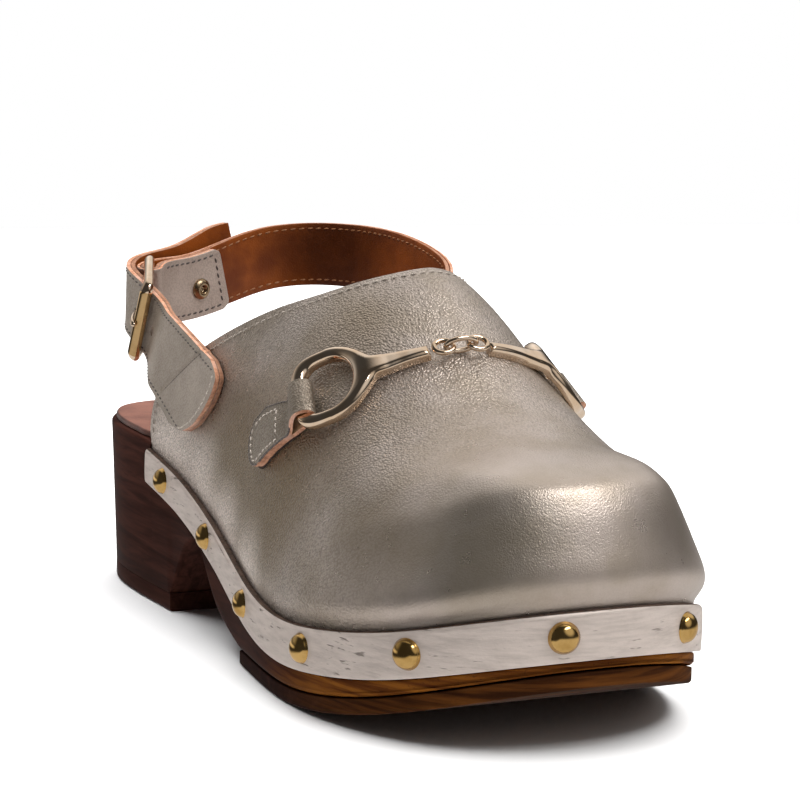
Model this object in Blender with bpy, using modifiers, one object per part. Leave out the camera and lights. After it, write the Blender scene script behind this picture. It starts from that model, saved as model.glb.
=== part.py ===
"""Right shoe of a pair of slingback clogs: wooden sole, closed leather upper, studded rand,
heel strap with a buckle, and a snaffle-bit ornament.

Lengths are millimetres until a mesh is made. The toe points to -Y, the wearer's outer
(lateral) side is -X, and the shoe stands on the XY plane.
"""
import math
from collections import namedtuple

import bmesh
import bpy
import numpy as np
from mathutils import Vector

MM = 0.001
NAME = "slingback_clog"
GAP = 0.3                    # clearance between neighbouring pieces

# Plan outline of the wooden sole
Outline = namedtuple("Outline", "y lateral medial")
OUTLINE = (
    Outline(118, -26.6, 22.0),
    Outline(104, -34.4, 29.4),
    Outline(81, -37.3, 30.8),
    Outline(51, -37.3, 29.3),
    Outline(18, -38.1, 31.0),
    Outline(-13, -41.0, 37.6),
    Outline(-43, -45.1, 45.3),
    Outline(-71, -45.5, 48.7),
    Outline(-99, -37.6, 43.0),
    Outline(-117, -22.9, 30.2),
)
HEEL_BACK = (-3.0, 125.4)
TOE_TIP = (5.1, -125.5)

# Side profile of the sole
Height = namedtuple("Height", "y z")
FOOTBED = (
    Height(126, 49.4), Height(90, 48.2), Height(62, 46.9), Height(40, 43.0), Height(20, 37.6),
    Height(0, 32.0), Height(-20, 26.3), Height(-40, 22.6), Height(-60, 21.0), Height(-80, 21.8),
    Height(-100, 24.4), Height(-126, 31.0),
)
RAND_TOP = (
    Height(70, 47.2), Height(60, 45.2), Height(40, 41.6), Height(20, 36.7), Height(0, 31.0),
    Height(-20, 25.5), Height(-40, 22.2), Height(-60, 21.3), Height(-80, 22.9), Height(-100, 26.2),
    Height(-127, 34.0),
)
ARCH = (
    Height(49, 5.3), Height(45.5, 10.0), Height(40, 16.5), Height(33, 22.5), Height(26, 25.0),
    Height(19, 22.0), Height(12, 15.5), Height(5, 10.4), Height(-3, 7.4), Height(-11, 5.4),
    Height(-18, 4.3),
)
RAND_HEIGHT_REAR = 10.2
RAND_HEIGHT_TOE = 11.9
TOE_SPRING = 15.0            # rise of the underside at the toe tip
SPRING_START = -50.0
TREAD = 4.0                  # forefoot rubber
TREAD_BACK = -18.0
HEEL_TIP = 5.0               # rubber under the heel
HEEL_BREAST = 49.0
HEEL_TAPER = 1.6             # the heel narrows this much towards the floor
TAPER_FROM, TAPER_FULL = 30.0, 46.0
REBATE = 2.8                 # depth of the step that takes upper and rand
INSOLE = 1.5
QUARTER_END = 61.5           # rear end of rand and upper

# Cross-sections of the upper: ridge line, roundness of the sides and of the crown, swell above the rand
Section = namedtuple("Section", "y ridge_x ridge_z side crown swell")
SECTIONS = (
    Section(60, 0.0, 112.0, 3.5, 2.2, 0.6),
    Section(26, 3.0, 110.0, 3.3, 2.2, 1.0),
    Section(8, 4.0, 108.0, 2.7, 2.2, 1.2),
    Section(-4, 4.0, 106.0, 2.25, 2.2, 1.3),
    Section(-16, 4.2, 105.0, 1.95, 2.2, 1.5),
    Section(-31, 4.5, 103.0, 1.75, 2.2, 1.6),
    Section(-55, 4.2, 86.0, 1.75, 2.2, 1.9),
    Section(-80, 3.8, 69.0, 2.25, 2.4, 2.5),
    Section(-98, 4.2, 65.2, 3.2, 2.2, 2.9),
    Section(-112, 4.7, 63.4, 4.6, 2.8, 3.0),
    Section(-127, 5.2, 60.0, 6.5, 5.5, 3.0),
)
CROWN_SIDE = 2.4             # near the ridge the sides are no squarer than this
CROWN_FROM = 60.0            # degrees up the section
TOE_LEAN = 0.06              # the toe's wall leans in by this share of its height
LEAN_FROM = -80.0
LEAN_OVER = 25.0
# The collar: where each angle round the section (0 at the rand, 90 on the ridge) is cut off
Collar = namedtuple("Collar", "angle y")
COLLAR = (
    Collar(0, 61.5), Collar(9, 60.5), Collar(15, 56.0), Collar(22, 44.0), Collar(32, 26.5),
    Collar(43, 8.5), Collar(53, -5.0), Collar(60.5, -16.0), Collar(68, -24.5), Collar(78, -30.0),
    Collar(90, -31.4),
)
TOE_CENTRE = -90.0           # the toe's sections fan out round this point of the ridge
SWELL_HEIGHT = 7.0
WALL = 1.8
MARGIN_INSET = 0.5           # outer face of the lasting margin, inside the sole's outline
ANGLES = (0, 3, 7, 12, 18, 25, 33, 42, 51, 60, 70, 80, 90)
FAN_ROWS = 9
SIDE_ROWS = 16

# Rand and its studs
RAND_PROUD = 1.6
RAND_BACK = 0.2
RAND_CORNER = 0.5
RAND_STATIONS = 66
STUD_RADIUS = 3.65
STUD_HEIGHT = 2.3
STUD_DROP = 0.48             # share of the rand's height, from its top
STUD_SEGMENTS = 12
STUD_STOPS = (99, 136.5, 175, 217.5, 253, 288, 323, 358, 393.5, 429, 464.5, 500)

# Heel strap: centre line from the buckle's front bar round the heel to the medial quarter
Loop = namedtuple("Loop", "x y z lean")
LOOP = (
    Loop(-32.6, 74.2, 79.8, 4),
    Loop(-27.8, 90.0, 86.6, 4),
    Loop(-14.5, 98.8, 88.2, 4),
    Loop(1.5, 104.0, 92.0, 3),
    Loop(16.5, 105.8, 96.2, 1),
    Loop(28.5, 102.0, 97.6, 0),
    Loop(36.5, 91.0, 97.8, 0),
    Loop(40.6, 74.0, 97.2, -2),
    Loop(41.8, 52.0, 94.6, -5),
    Loop(40.0, 30.0, 89.8, -2),
    Loop(32.4, 8.0, 84.2, 12),
    Loop(30.2, -10.0, 79.2, 20),
)
STRAP_WIDTH = 19.2
STRAP = 2.3
REAR_BAR = 17.0              # distance along the loop from front bar to rear bar
BAR_SINK = 0.4               # the rear bar lies this far inside the loop's centre line
FLAP = 31.5                  # the strap's end folded back inside and riveted
FOLD_SETTLE = 14.0
SEWN_FROM = 16.0             # the medial end lies on the quarter ahead of this y

# Lateral tab with the holes: sewn to the quarter, through the buckle, tail outside the strap
TAB = 2.6
TAB_ROOT = (23.6, 63.8)      # y, z of a point on its centre line
TAB_RISE = 18.0              # degrees
TAB_WIDTH = 26.0
TAB_WIDTH_BUCKLE = 19.4
TAB_LOW_END = 1.0            # front end along the centre line, at the lower and upper edge
TAB_HIGH_END = -11.4
TAB_CORNER = 6.0
TAB_LEAVES = 33.0            # past this length the tab turns in towards the buckle
TAB_WIDTH_FREE = 21.5
TAIL = 41.0
TAIL_RISE = 5.2
TAIL_TIP = 10.0              # the tail narrows over this length, by the share below
TAIL_NARROWS = 0.15
TAIL_OFFSETS = ((-17.0, -0.2), (-8.0, 3.0), (0.0, 5.4), (14.0, 3.5), (27.0, 3.6), (41.0, 4.4))

# Buckle
ROD = 1.3
FRAME_HALF = 11.7
FRAME_CORNER = 1.8
FRONT_BAR_OUT = 3.0
PRONG = 0.9
RIVET_AT = 21.5
RIVET_DROP = 1.0
RIVET_RADIUS = 3.2
RIVET_SEGMENTS = 16

# Snaffle-bit ornament: its line over the vamp
Bit = namedtuple("Bit", "angle y")
BIT_LINE = (
    Bit(90, -57.5), Bit(75, -56.5), Bit(63, -54.0), Bit(45, -46.2), Bit(34, -38.0), Bit(13, -13.5),
    Bit(7, -6.2),
)
CHAIN_ANGLE = 83.5           # the chain's middle lies a little to the lateral side of the ridge
RING_ANGLE = 45.3
RING_LENGTH = 8.3            # half sizes of the ring's centre line
RING_WIDTH = 9.8
RING_SQUARE = 3.4            # the side under the leather loop is flattened
RING_BAND = 3.4
RING_HEIGHT = 3.0
RING_LIFT = 1.2
RING_TILT = 0.9              # the leather loop lifts its side of the ring
BAR_CLEAR = 0.5
BAR_WIDTH = 2.9
BAR_TAPER = 6.6              # the bar comes down from the ring over this length
BAR_RISE = 0.7
NECK_FLARE = 3.6             # each side of the bar widens by this at the ring
NECK_START = 6.0
NECK_FALL = 8.5
NECK_POWER = 1.15
BAR_END = 7.7                # distance of each bar's end from the chain's middle
LINK_WIRE = 0.65
LINK_HALF = 2.5
LINK_SIDE = 2.1
LINK_STAND = 2.2
LINK_LIFT = 3.0
BIT_TAB = 1.3
BIT_TAB_WIDTH = 14.0
BIT_TAB_FOLD = 10.5          # width at the fold
BIT_TAB_LENGTH = 24.5
BIT_TAB_SETTLE = 7.5         # past this length both layers lie on the upper
BIT_TAB_NOSE = 0.3           # the last fifth of the length narrows by this share

# name: base colour, roughness, metallic
FINISHES = {
    "stained_wood": ((0.045, 0.020, 0.016), 0.35, 0.0),
    "rubber_tread": ((0.020, 0.014, 0.012), 0.7, 0.0),
    "insole_leather": ((0.30, 0.11, 0.075), 0.5, 0.0),
    "metallic_leather": ((0.42, 0.36, 0.30), 0.32, 0.75),
    "strap_leather": ((0.20, 0.055, 0.010), 0.5, 0.0),
    "brass": ((0.62, 0.40, 0.11), 0.2, 1.0),
    "pale_gold": ((0.78, 0.62, 0.42), 0.15, 1.0),
}


def spline(knots, values):
    """Natural cubic through the rows of a table, held level past its ends."""
    order = np.argsort(knots)
    t = np.asarray(knots, float)[order]
    v = np.asarray(values, float)[order]
    step = np.diff(t)
    system = np.eye(len(t))
    bend = np.zeros_like(v)
    for i in range(1, len(t) - 1):
        system[i, i - 1:i + 2] = step[i - 1], 2 * (step[i - 1] + step[i]), step[i]
        bend[i] = 6 * ((v[i + 1] - v[i]) / step[i] - (v[i] - v[i - 1]) / step[i - 1])
    curve = np.linalg.solve(system, bend)

    def at(x):
        x = min(max(x, t[0]), t[-1])
        k = min(max(int(np.searchsorted(t, x)) - 1, 0), len(step) - 1)
        a, b, h = t[k + 1] - x, x - t[k], step[k]
        return ((curve[k] * a ** 3 + curve[k + 1] * b ** 3) / (6 * h)
                + (v[k] / h - curve[k] * h / 6) * a + (v[k + 1] / h - curve[k + 1] * h / 6) * b)
    return at


def table(rows, column):
    return spline([row.y for row in rows], [getattr(row, column) for row in rows])


def outline_curve(per_span=32):
    """Smooth closed curve through the outline's rows, from the heel's back round the lateral side."""
    corners = [HEEL_BACK] + [(row.lateral, row.y) for row in OUTLINE]
    corners += [TOE_TIP] + [(row.medial, row.y) for row in reversed(OUTLINE)]
    wrap = 4
    ring = np.array(corners[-wrap:] + corners + corners[:wrap + 1])
    chord = np.linalg.norm(np.diff(ring, axis=0), axis=1) ** 0.7
    knots = np.concatenate([[0], np.cumsum(chord)])
    curve = spline(knots, ring)
    points = []
    for k in range(wrap, wrap + len(corners)):
        for share in np.arange(per_span) / per_span:
            points.append(curve(knots[k] + share * (knots[k + 1] - knots[k])))
    points = np.array(points)
    return np.roll(points, -int(np.argmax(points[:, 1])), axis=0)


PLAN = outline_curve()
TIP_INDEX = int(np.argmin(PLAN[:, 1]))
SIDES = {-1: PLAN[:TIP_INDEX + 1][::-1], 1: np.vstack([PLAN[TIP_INDEX:], PLAN[:1]])}

footbed = table(FOOTBED, "z")
rand_top = table(RAND_TOP, "z")
arch = table(ARCH, "z")
ridge_x = table(SECTIONS, "ridge_x")
ridge_z = table(SECTIONS, "ridge_z")
side_power = table(SECTIONS, "side")
crown_power = table(SECTIONS, "crown")
swell = table(SECTIONS, "swell")
collar = spline([row.angle for row in COLLAR] + [180 - row.angle for row in COLLAR[:-1]],
                [row.y for row in COLLAR] + [row.y for row in COLLAR[:-1]])


def side_x(y, side):
    return float(np.interp(y, SIDES[side][:, 1], SIDES[side][:, 0]))


def edge(y, side):
    """Point of the outline at y, with its outward direction in plan."""
    span = 0.4
    here = np.array([side_x(y, side), y])
    along = np.array([side_x(y + span, side) - side_x(y - span, side), 2 * span])
    outward = np.array([along[1], -along[0]]) * side
    return here, outward / np.linalg.norm(outward)


def rand_height(y):
    return float(np.interp(y, [TOE_TIP[1], QUARTER_END], [RAND_HEIGHT_TOE, RAND_HEIGHT_REAR]))


def ledge(y):
    return rand_top(y) - rand_height(y)


def spring(y):
    reach = max(0.0, (SPRING_START - y) / (SPRING_START - TOE_TIP[1]))
    return TOE_SPRING * reach ** 2


def underside(y):
    if y >= HEEL_BREAST:
        return HEEL_TIP + GAP
    if y > TREAD_BACK:
        return arch(y)
    return TREAD + GAP + spring(y)


def heel_taper(y):
    return float(np.interp(y, [TAPER_FROM, TAPER_FULL], [0, HEEL_TAPER]))


# Meshes

def collection(name):
    group = bpy.data.collections.new(name)
    bpy.context.scene.collection.children.link(group)
    return group


def finish_material(name):
    made = bpy.data.materials.get(name)
    if made is None:
        made = bpy.data.materials.new(name)
        made.use_nodes = True
        shader = made.node_tree.nodes["Principled BSDF"]
        colour, roughness, metallic = FINISHES[name]
        shader.inputs["Base Color"].default_value = (*colour, 1)
        shader.inputs["Roughness"].default_value = roughness
        shader.inputs["Metallic"].default_value = metallic
    return made


def add_object(name, mesh, finish):
    piece = bpy.data.objects.new(name, mesh)
    if not mesh.materials:
        mesh.materials.append(finish_material(finish))
    parts.objects.link(piece)
    piece.parent = origin
    return piece


def mesh_from(name, points, faces):
    """Mesh of points in millimetres, its faces turned to point out."""
    bm = bmesh.new()
    verts = [bm.verts.new(Vector(p) * MM) for p in points]
    for face in faces:
        bm.faces.new([verts[i] for i in face])
    bmesh.ops.recalc_face_normals(bm, faces=bm.faces)
    mesh = bpy.data.meshes.new(name)
    bm.to_mesh(mesh)
    bm.free()
    return mesh


def smooth_shade(mesh, degrees=40):
    mesh.shade_smooth()
    mesh.set_sharp_from_angle(angle=math.radians(degrees))


def loft(name, loops, finish, closed=False):
    """Solid through closed loops of equal count, capped at both ends or joined into a ring."""
    count = len(loops[0])
    points = [p for loop in loops for p in loop]
    faces = []
    spans = len(loops) if closed else len(loops) - 1
    for k in range(spans):
        a, b = k * count, ((k + 1) % len(loops)) * count
        faces += [(a + i, a + (i + 1) % count, b + (i + 1) % count, b + i) for i in range(count)]
    if not closed:
        faces += [tuple(range(count)), tuple(range(len(points) - count, len(points)))]
    mesh = mesh_from(name, points, faces)
    smooth_shade(mesh)
    return add_object(name, mesh, finish)


def set_aside(piece):
    """Keep a helper solid out of the shoe's own collection."""
    parts.objects.unlink(piece)
    cutters.objects.link(piece)
    piece.hide_render = True
    piece.display_type = "WIRE"


def cut_out(piece, cutter):
    set_aside(cutter)
    cut = piece.modifiers.new(cutter.name, "BOOLEAN")
    cut.operation = "DIFFERENCE"
    cut.object = cutter


def sheet(name, rows, thickness, finish, offset=0.0):
    """Strip of leather through rows of points across its width, given its thickness by Solidify."""
    across = len(rows[0])
    bm = bmesh.new()
    bmesh.ops.create_grid(bm, x_segments=across - 1, y_segments=len(rows) - 1, size=1)
    for vert in bm.verts:
        i = round((vert.co.x + 1) / 2 * (across - 1))
        j = round((vert.co.y + 1) / 2 * (len(rows) - 1))
        vert.co = Vector(rows[j][i]) * MM
    bmesh.ops.remove_doubles(bm, verts=bm.verts, dist=1e-6)
    mesh = bpy.data.meshes.new(name)
    bm.to_mesh(mesh)
    bm.free()
    piece = add_object(name, mesh, finish)
    wall = piece.modifiers.new("thickness", "SOLIDIFY")
    wall.thickness = thickness * MM
    wall.offset = offset
    wall.use_even_offset = True
    smooth_shade(mesh)
    return piece


def turned(name, mesh, finish, segments):
    """Piece whose profile, drawn in the XZ plane, turns round Z."""
    piece = add_object(name, mesh, finish)
    turn = piece.modifiers.new("turn", "SCREW")
    turn.steps = turn.render_steps = segments
    turn.use_merge_vertices = True
    turn.merge_threshold = 1e-6
    turn.use_smooth_shade = True
    return piece


def profile_mesh(name, points):
    mesh = bpy.data.meshes.new(name)
    mesh.from_pydata([(x * MM, 0, z * MM) for x, z in points],
                     [(i, i + 1) for i in range(len(points) - 1)], [])
    return mesh


# Sole

END_STEPS = (0.5, 2.0, 5.0, 9.5, 15.5, 23.0)
HEEL_ROWS = [HEEL_BACK[1] - step for step in END_STEPS]
TOE_ROWS = [TOE_TIP[1] + step for step in reversed(END_STEPS)]
Level = namedtuple("Level", "inset height")


def ring_solid(name, rows, levels, finish, heel=True, toe=True):
    """Solid between rings that follow the outline, with flat rows across its top and bottom."""
    count = len(rows)
    points = []
    for level in levels:
        loop = [edge(y, -1) for y in rows]
        loop += [(np.array(TOE_TIP), np.array([0.0, -1.0]))] if toe else []
        loop += [edge(y, 1) for y in reversed(rows)]
        loop += [(np.array(HEEL_BACK), np.array([0.0, 1.0]))] if heel else []
        for here, outward in loop:
            x, y = here - outward * level.inset(here[1])
            points.append((x, y, level.height(here[1])))
    ring = len(points) // len(levels)
    faces = []
    for k in range(len(levels) - 1):
        a, b = k * ring, (k + 1) * ring
        faces += [(a + i, a + (i + 1) % ring, b + (i + 1) % ring, b + i) for i in range(ring)]
    medial = 2 * count - 1 + toe
    for a in (0, (len(levels) - 1) * ring):
        faces += [(a + i, a + i + 1, a + medial - i - 1, a + medial - i) for i in range(count - 1)]
        if toe:
            faces.append((a + count - 1, a + count, a + count + 1))
        if heel:
            faces.append((a, a + medial, a + ring - 1))
    mesh = mesh_from(name, points, faces)
    smooth_shade(mesh, 30)
    return add_object(name, mesh, finish)


def make_wooden_sole():
    shoulder = QUARTER_END + GAP
    rows = HEEL_ROWS + [93, 84, 75, 68, shoulder + 0.7, shoulder, 55, HEEL_BREAST, 47.5, 45.5, 42, 38, 33,
                        29, 25, 21, 17, 12, 7, 1, -5, -11, -17, -26, -34, -42, -50, -58, -66, -74, -82,
                        -90, -97] + TOE_ROWS

    def brim(y):
        return footbed(y) if y > shoulder + 0.1 else ledge(y)

    def seat(y):
        return footbed(y) if y <= shoulder + 0.1 else footbed(y) + 0.02

    round_under, round_brim = 0.8, 0.6
    levels = [
        Level(lambda y: heel_taper(y) + round_under, underside),
        Level(heel_taper, lambda y: underside(y) + round_under),
        Level(lambda y: 0.0, lambda y: brim(y) - round_brim),
        Level(lambda y: round_brim, brim),
        Level(lambda y: REBATE, brim),
        Level(lambda y: REBATE + 0.2, seat),
    ]
    return ring_solid("wooden_sole", rows, levels, "stained_wood")


def make_treads():
    bevel = 0.8
    toe_rows = [TREAD_BACK, -26, -34, -42, -50, -58, -66, -74, -82, -90, -97] + TOE_ROWS
    ring_solid("forefoot_tread", toe_rows, [
        Level(lambda y: bevel + 0.4, spring),
        Level(lambda y: 0.4, lambda y: spring(y) + bevel),
        Level(lambda y: 0.4, lambda y: spring(y) + TREAD),
    ], "rubber_tread", heel=False)
    heel_rows = HEEL_ROWS + [93, 84, 75, 68, 61, 55, HEEL_BREAST]
    ring_solid("heel_tip", heel_rows, [
        Level(lambda y: HEEL_TAPER + bevel + 0.3, lambda y: 0.0),
        Level(lambda y: HEEL_TAPER + 0.3, lambda y: bevel),
        Level(lambda y: HEEL_TAPER + 0.3, lambda y: HEEL_TIP),
    ], "rubber_tread", toe=False)


def make_insole():
    rows = HEEL_ROWS + [93, 84, 75, 70, 66, 60, 52, 44, 36, 28, 20, 12, 4, -4, -12, -20, -30, -40, -50,
                        -60, -70, -80, -90, -97] + TOE_ROWS

    def inset(y):
        return float(np.interp(y, [64, 71], [REBATE + 0.6, 1.4]))

    ring_solid("insole", rows, [
        Level(inset, lambda y: footbed(y) + GAP),
        Level(inset, lambda y: footbed(y) + GAP + INSOLE / 2),
        Level(lambda y: inset(y) + 0.8, lambda y: footbed(y) + GAP + INSOLE),
    ], "insole_leather")


# Upper

def side_roundness(y, angle):
    """Power of the section's side, eased towards the ridge."""
    share = min(max((angle - CROWN_FROM) / (90 - CROWN_FROM), 0.0), 1.0)
    power = side_power(y)
    return power + min(CROWN_SIDE - power, 0.0) * share ** 2 * (3 - 2 * share)


def toe_lean(y):
    return TOE_LEAN * min(max((LEAN_FROM - y) / LEAN_OVER, 0.0), 1.0)


def section_point(base, centre, angle):
    """Point of the upper above the outline point base, at an angle up its section from the rand."""
    turn = math.radians(angle)
    y = base[1]
    reach = np.linalg.norm(base - centre)
    outward = (base - centre) / reach
    out = max(math.cos(turn), 0.0) ** (2 / side_roundness(y, angle))
    up = math.sin(turn) ** (2 / crown_power(y))
    plan = centre + outward * (reach - MARGIN_INSET) * out
    rise = (ridge_z(plan[1]) - rand_top(y)) * up
    lobe = rise / SWELL_HEIGHT
    bulge = swell(y) * (lobe * math.exp(1 - lobe)) ** 2 * min(1.0, 2 * out)
    plan = plan + outward * (bulge - toe_lean(y) * rise * out ** 3)
    return np.array([plan[0], plan[1], rand_top(y) + rise])


def fan_base(share, side):
    """Outline point of the toe's fan: share 0 at the toe tip, 1 straight out to the side."""
    centre = np.array([ridge_x(TOE_CENTRE), TOE_CENTRE])
    rim = SIDES[side] - centre
    bearing = np.arctan2(rim[:, 0], -rim[:, 1])
    tip = math.atan2(TOE_TIP[0] - centre[0], centre[1] - TOE_TIP[1])
    wanted = tip + (side * math.pi / 2 - tip) * share
    order = np.argsort(bearing)
    return np.array([np.interp(wanted, bearing[order], SIDES[side][order, k]) for k in (0, 1)]), centre


def vamp(y, angle):
    """Point of the upper in the section at y; angles past 90 lie on the medial side."""
    side, up = (-1, angle) if angle <= 90 else (1, 180 - angle)
    base = np.array([side_x(y, side), y])
    return section_point(base, np.array([ridge_x(y), y]), up)


def vamp_normal(y, angle):
    span, turn = 0.5, 0.5
    across = vamp(y, angle + turn) - vamp(y, angle - turn)
    along = vamp(y + span, angle) - vamp(y - span, angle)
    normal = np.cross(across, along)
    return normal / np.linalg.norm(normal)


def wall_x(y, z, side):
    """Outer face of the upper's side at a height, carried on smoothly past its edges."""
    low, high = rand_top(y), ridge_z(y)
    up = min(max((z - low) / (high - low), 0.0), 0.98)
    out = (1 - up ** crown_power(y)) ** (1 / side_power(y))
    centre = ridge_x(y)
    lobe = max(z - low, 0.0) / SWELL_HEIGHT
    bulge = swell(y) * (lobe * math.exp(1 - lobe)) ** 2
    return centre + (side_x(y, side) - side * MARGIN_INSET - centre) * out + side * bulge


def make_upper():
    rows = []
    for j in range(FAN_ROWS + SIDE_ROWS + 1):
        row = []
        for side in (-1, 1):
            half = []
            for angle in ANGLES:
                if j < FAN_ROWS:
                    base, centre = fan_base(j / FAN_ROWS, side if j else -1)
                else:
                    share = (j - FAN_ROWS) / SIDE_ROWS
                    y = TOE_CENTRE + (collar(angle) - TOE_CENTRE) * share
                    base, centre = np.array([side_x(y, side), y]), np.array([ridge_x(y), y])
                half.append(section_point(base, centre, angle))
            foot = half[0].copy()
            foot[2] = ledge(foot[1]) + GAP
            half.insert(0, foot)
            row += half if side < 0 else half[-2::-1]
        rows.append(row)
    return sheet("upper", rows, WALL, "metallic_leather", offset=-1.0)


# Rand and studs

def rim_path():
    """Outline from the lateral quarter end round the toe to the medial one, with running length."""
    length = np.concatenate([[0], np.cumsum(np.linalg.norm(np.diff(PLAN, axis=0), axis=1))])
    inside = PLAN[:, 1] <= QUARTER_END
    return PLAN[inside], length[inside]


def rim_frame(stop):
    """Point of the outline and its outward direction, at a length from the heel's back."""
    points, length = rim_path()
    here = np.array([np.interp(stop, length, points[:, k]) for k in (0, 1)])
    ahead = np.array([np.interp(stop + 1, length, points[:, k]) for k in (0, 1)])
    behind = np.array([np.interp(stop - 1, length, points[:, k]) for k in (0, 1)])
    along = (ahead - behind) / np.linalg.norm(ahead - behind)
    return here, np.array([along[1], -along[0]])


def make_rand():
    _, length = rim_path()
    corner = RAND_CORNER
    loops = []
    for stop in np.linspace(length[0], length[-1], RAND_STATIONS):
        here, outward = rim_frame(stop)
        low, high = ledge(here[1]) + GAP, rand_top(here[1]) - RAND_BACK
        profile = ((-RAND_BACK, low), (RAND_PROUD - corner, low), (RAND_PROUD, low + corner),
                   (RAND_PROUD, high - corner), (RAND_PROUD - corner, high), (-RAND_BACK, high))
        loops.append([(*(here + outward * out), z) for out, z in profile])
    return loft("rand", loops, "metallic_leather")


def make_studs():
    dome = profile_mesh("stud_profile", (
        (0, STUD_HEIGHT), (0.5 * STUD_RADIUS, 0.86 * STUD_HEIGHT), (0.87 * STUD_RADIUS, 0.46 * STUD_HEIGHT),
        (STUD_RADIUS, 0), (0, 0)))
    for k, stop in enumerate(STUD_STOPS):
        here, outward = rim_frame(stop)
        seat = here + outward * (RAND_PROUD + GAP)
        z = rand_top(here[1]) - STUD_DROP * rand_height(here[1])
        piece = turned(f"stud_{k + 1:02d}", dome, "brass", STUD_SEGMENTS)
        piece.location = Vector((*seat, z)) * MM
        piece.rotation_euler = Vector((*outward, 0)).to_track_quat("Z", "Y").to_euler()


# Heel strap, tab and buckle

def loop_curve():
    spots = np.array([(row.x, row.y, row.z) for row in LOOP])
    run = np.concatenate([[0], np.cumsum(np.linalg.norm(np.diff(spots, axis=0), axis=1))]) - REAR_BAR
    return spline(run, spots), spline(run, [row.lean for row in LOOP]), run[-1]


def loop_frame(run):
    """Centre, direction, outward and width direction of the heel strap; run 0 is at the rear bar."""
    centre, lean, _ = loop_curve()
    along = centre(run + 0.5) - centre(run - 0.5)
    along = along / np.linalg.norm(along)
    outward = np.array([-along[1], along[0], 0.0])
    outward = outward / np.linalg.norm(outward)
    tilt = math.radians(lean(run))
    width = np.array([0, 0, math.cos(tilt)]) - outward * math.sin(tilt)
    width = width - along * np.dot(width, along)
    width = width / np.linalg.norm(width)
    return centre(run), along, np.cross(width, along), width


def strap_row(run, out, half, shift=0.0, count=5):
    centre, _, outward, width = loop_frame(run)
    return [centre + outward * out + width * (shift + half * b) for b in np.linspace(-1, 1, count)]


def make_sling_strap():
    half = STRAP_WIDTH / 2
    turn_radius = ROD + GAP + STRAP / 2
    inner = spline([0, FOLD_SETTLE, FLAP], [-BAR_SINK - turn_radius, -STRAP - GAP, -STRAP - GAP])
    outer = spline([0, FOLD_SETTLE, FLAP], [turn_radius - BAR_SINK, 0.0, 0.0])
    rows = [strap_row(run, inner(run), half) for run in np.linspace(FLAP, 0, 9)]
    centre, along, outward, width = loop_frame(0)
    for degrees in (30, 60, 90, 120, 150):
        turn = math.radians(degrees)
        spot = centre - outward * BAR_SINK
        spot = spot - (along * math.sin(turn) + outward * math.cos(turn)) * turn_radius
        rows.append([spot + width * half * b for b in np.linspace(-1, 1, 5)])
    rows += [strap_row(run, outer(run), half) for run in np.linspace(0, FLAP, 9)]
    end = loop_curve()[2]
    for run in np.linspace(FLAP, end, 24)[1:]:
        row = strap_row(run, 0.0, half)
        seated = [np.array([max(p[0], wall_x(p[1], p[2], 1) + GAP + STRAP / 2), p[1], p[2]])
                  if p[1] < SEWN_FROM else p for p in row]
        rows.append(seated)
    strap = sheet("sling_strap", rows, STRAP, "strap_leather")
    cut_out(strap, prong("prong_slot", PRONG + GAP, start=0.9))


def tab_point(along, across):
    """Point of the tab's middle layer on the quarter, from its own two directions in side view."""
    rise = math.radians(TAB_RISE)
    y = TAB_ROOT[0] + along * math.cos(rise) - across * math.sin(rise)
    z = TAB_ROOT[1] + along * math.sin(rise) + across * math.cos(rise)
    return np.array([wall_x(y, z, -1) - GAP - TAB / 2, y, z])


def make_strap_tab():
    shares = np.linspace(-1, 1, 9)
    out = spline(*zip(*TAIL_OFFSETS))
    rows = []
    for step in np.linspace(0, 1, 7):
        row = []
        for share in shares:
            half = TAB_WIDTH / 2 + (TAB_WIDTH_FREE - TAB_WIDTH) / 2 * step
            over = max(0.0, abs(share) * TAB_WIDTH / 2 - (TAB_WIDTH / 2 - TAB_CORNER))
            nose = TAB_CORNER - math.sqrt(TAB_CORNER ** 2 - over ** 2)
            front = TAB_LOW_END + (TAB_HIGH_END - TAB_LOW_END) * (share + 1) / 2 + nose
            row.append(tab_point(front + (TAB_LEAVES - front) * step, share * half))
        rows.append(row)
    sewn = len(rows)
    for run in np.linspace(-REAR_BAR, TAIL, 16):
        tip_share = max(0.0, (run - TAIL + TAIL_TIP) / TAIL_TIP)
        half = TAB_WIDTH_BUCKLE / 2 * (1 - TAIL_NARROWS * tip_share ** 2)
        lift = TAIL_RISE * max(0.0, run / TAIL) ** 1.2
        rows.append(strap_row(run, out(run), half, lift, len(shares)))
    rows = np.array(rows)
    step = np.linalg.norm(np.diff(rows, axis=0), axis=2).mean(axis=1)
    knots = np.concatenate([[0], np.cumsum(step)])
    curve = spline(knots, rows.reshape(len(rows), -1))
    bridge = [curve(k).reshape(-1, 3) for k in np.linspace(knots[sewn - 1], knots[sewn], 5)[1:-1]]
    rows = list(rows[:sewn]) + bridge + list(rows[sewn:])
    tab = sheet("strap_tab", rows, TAB, "metallic_leather")
    cut_out(tab, prong("prong_hole", PRONG + GAP))


def buckle_corners():
    """Middle and direction of the frame's front bar and of its rear bar."""
    rear, _, rear_out, rear_width = loop_frame(0)
    front, _, front_out, front_width = loop_frame(-REAR_BAR)
    return front + front_out * FRONT_BAR_OUT, front_width, rear - rear_out * BAR_SINK, rear_width


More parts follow.
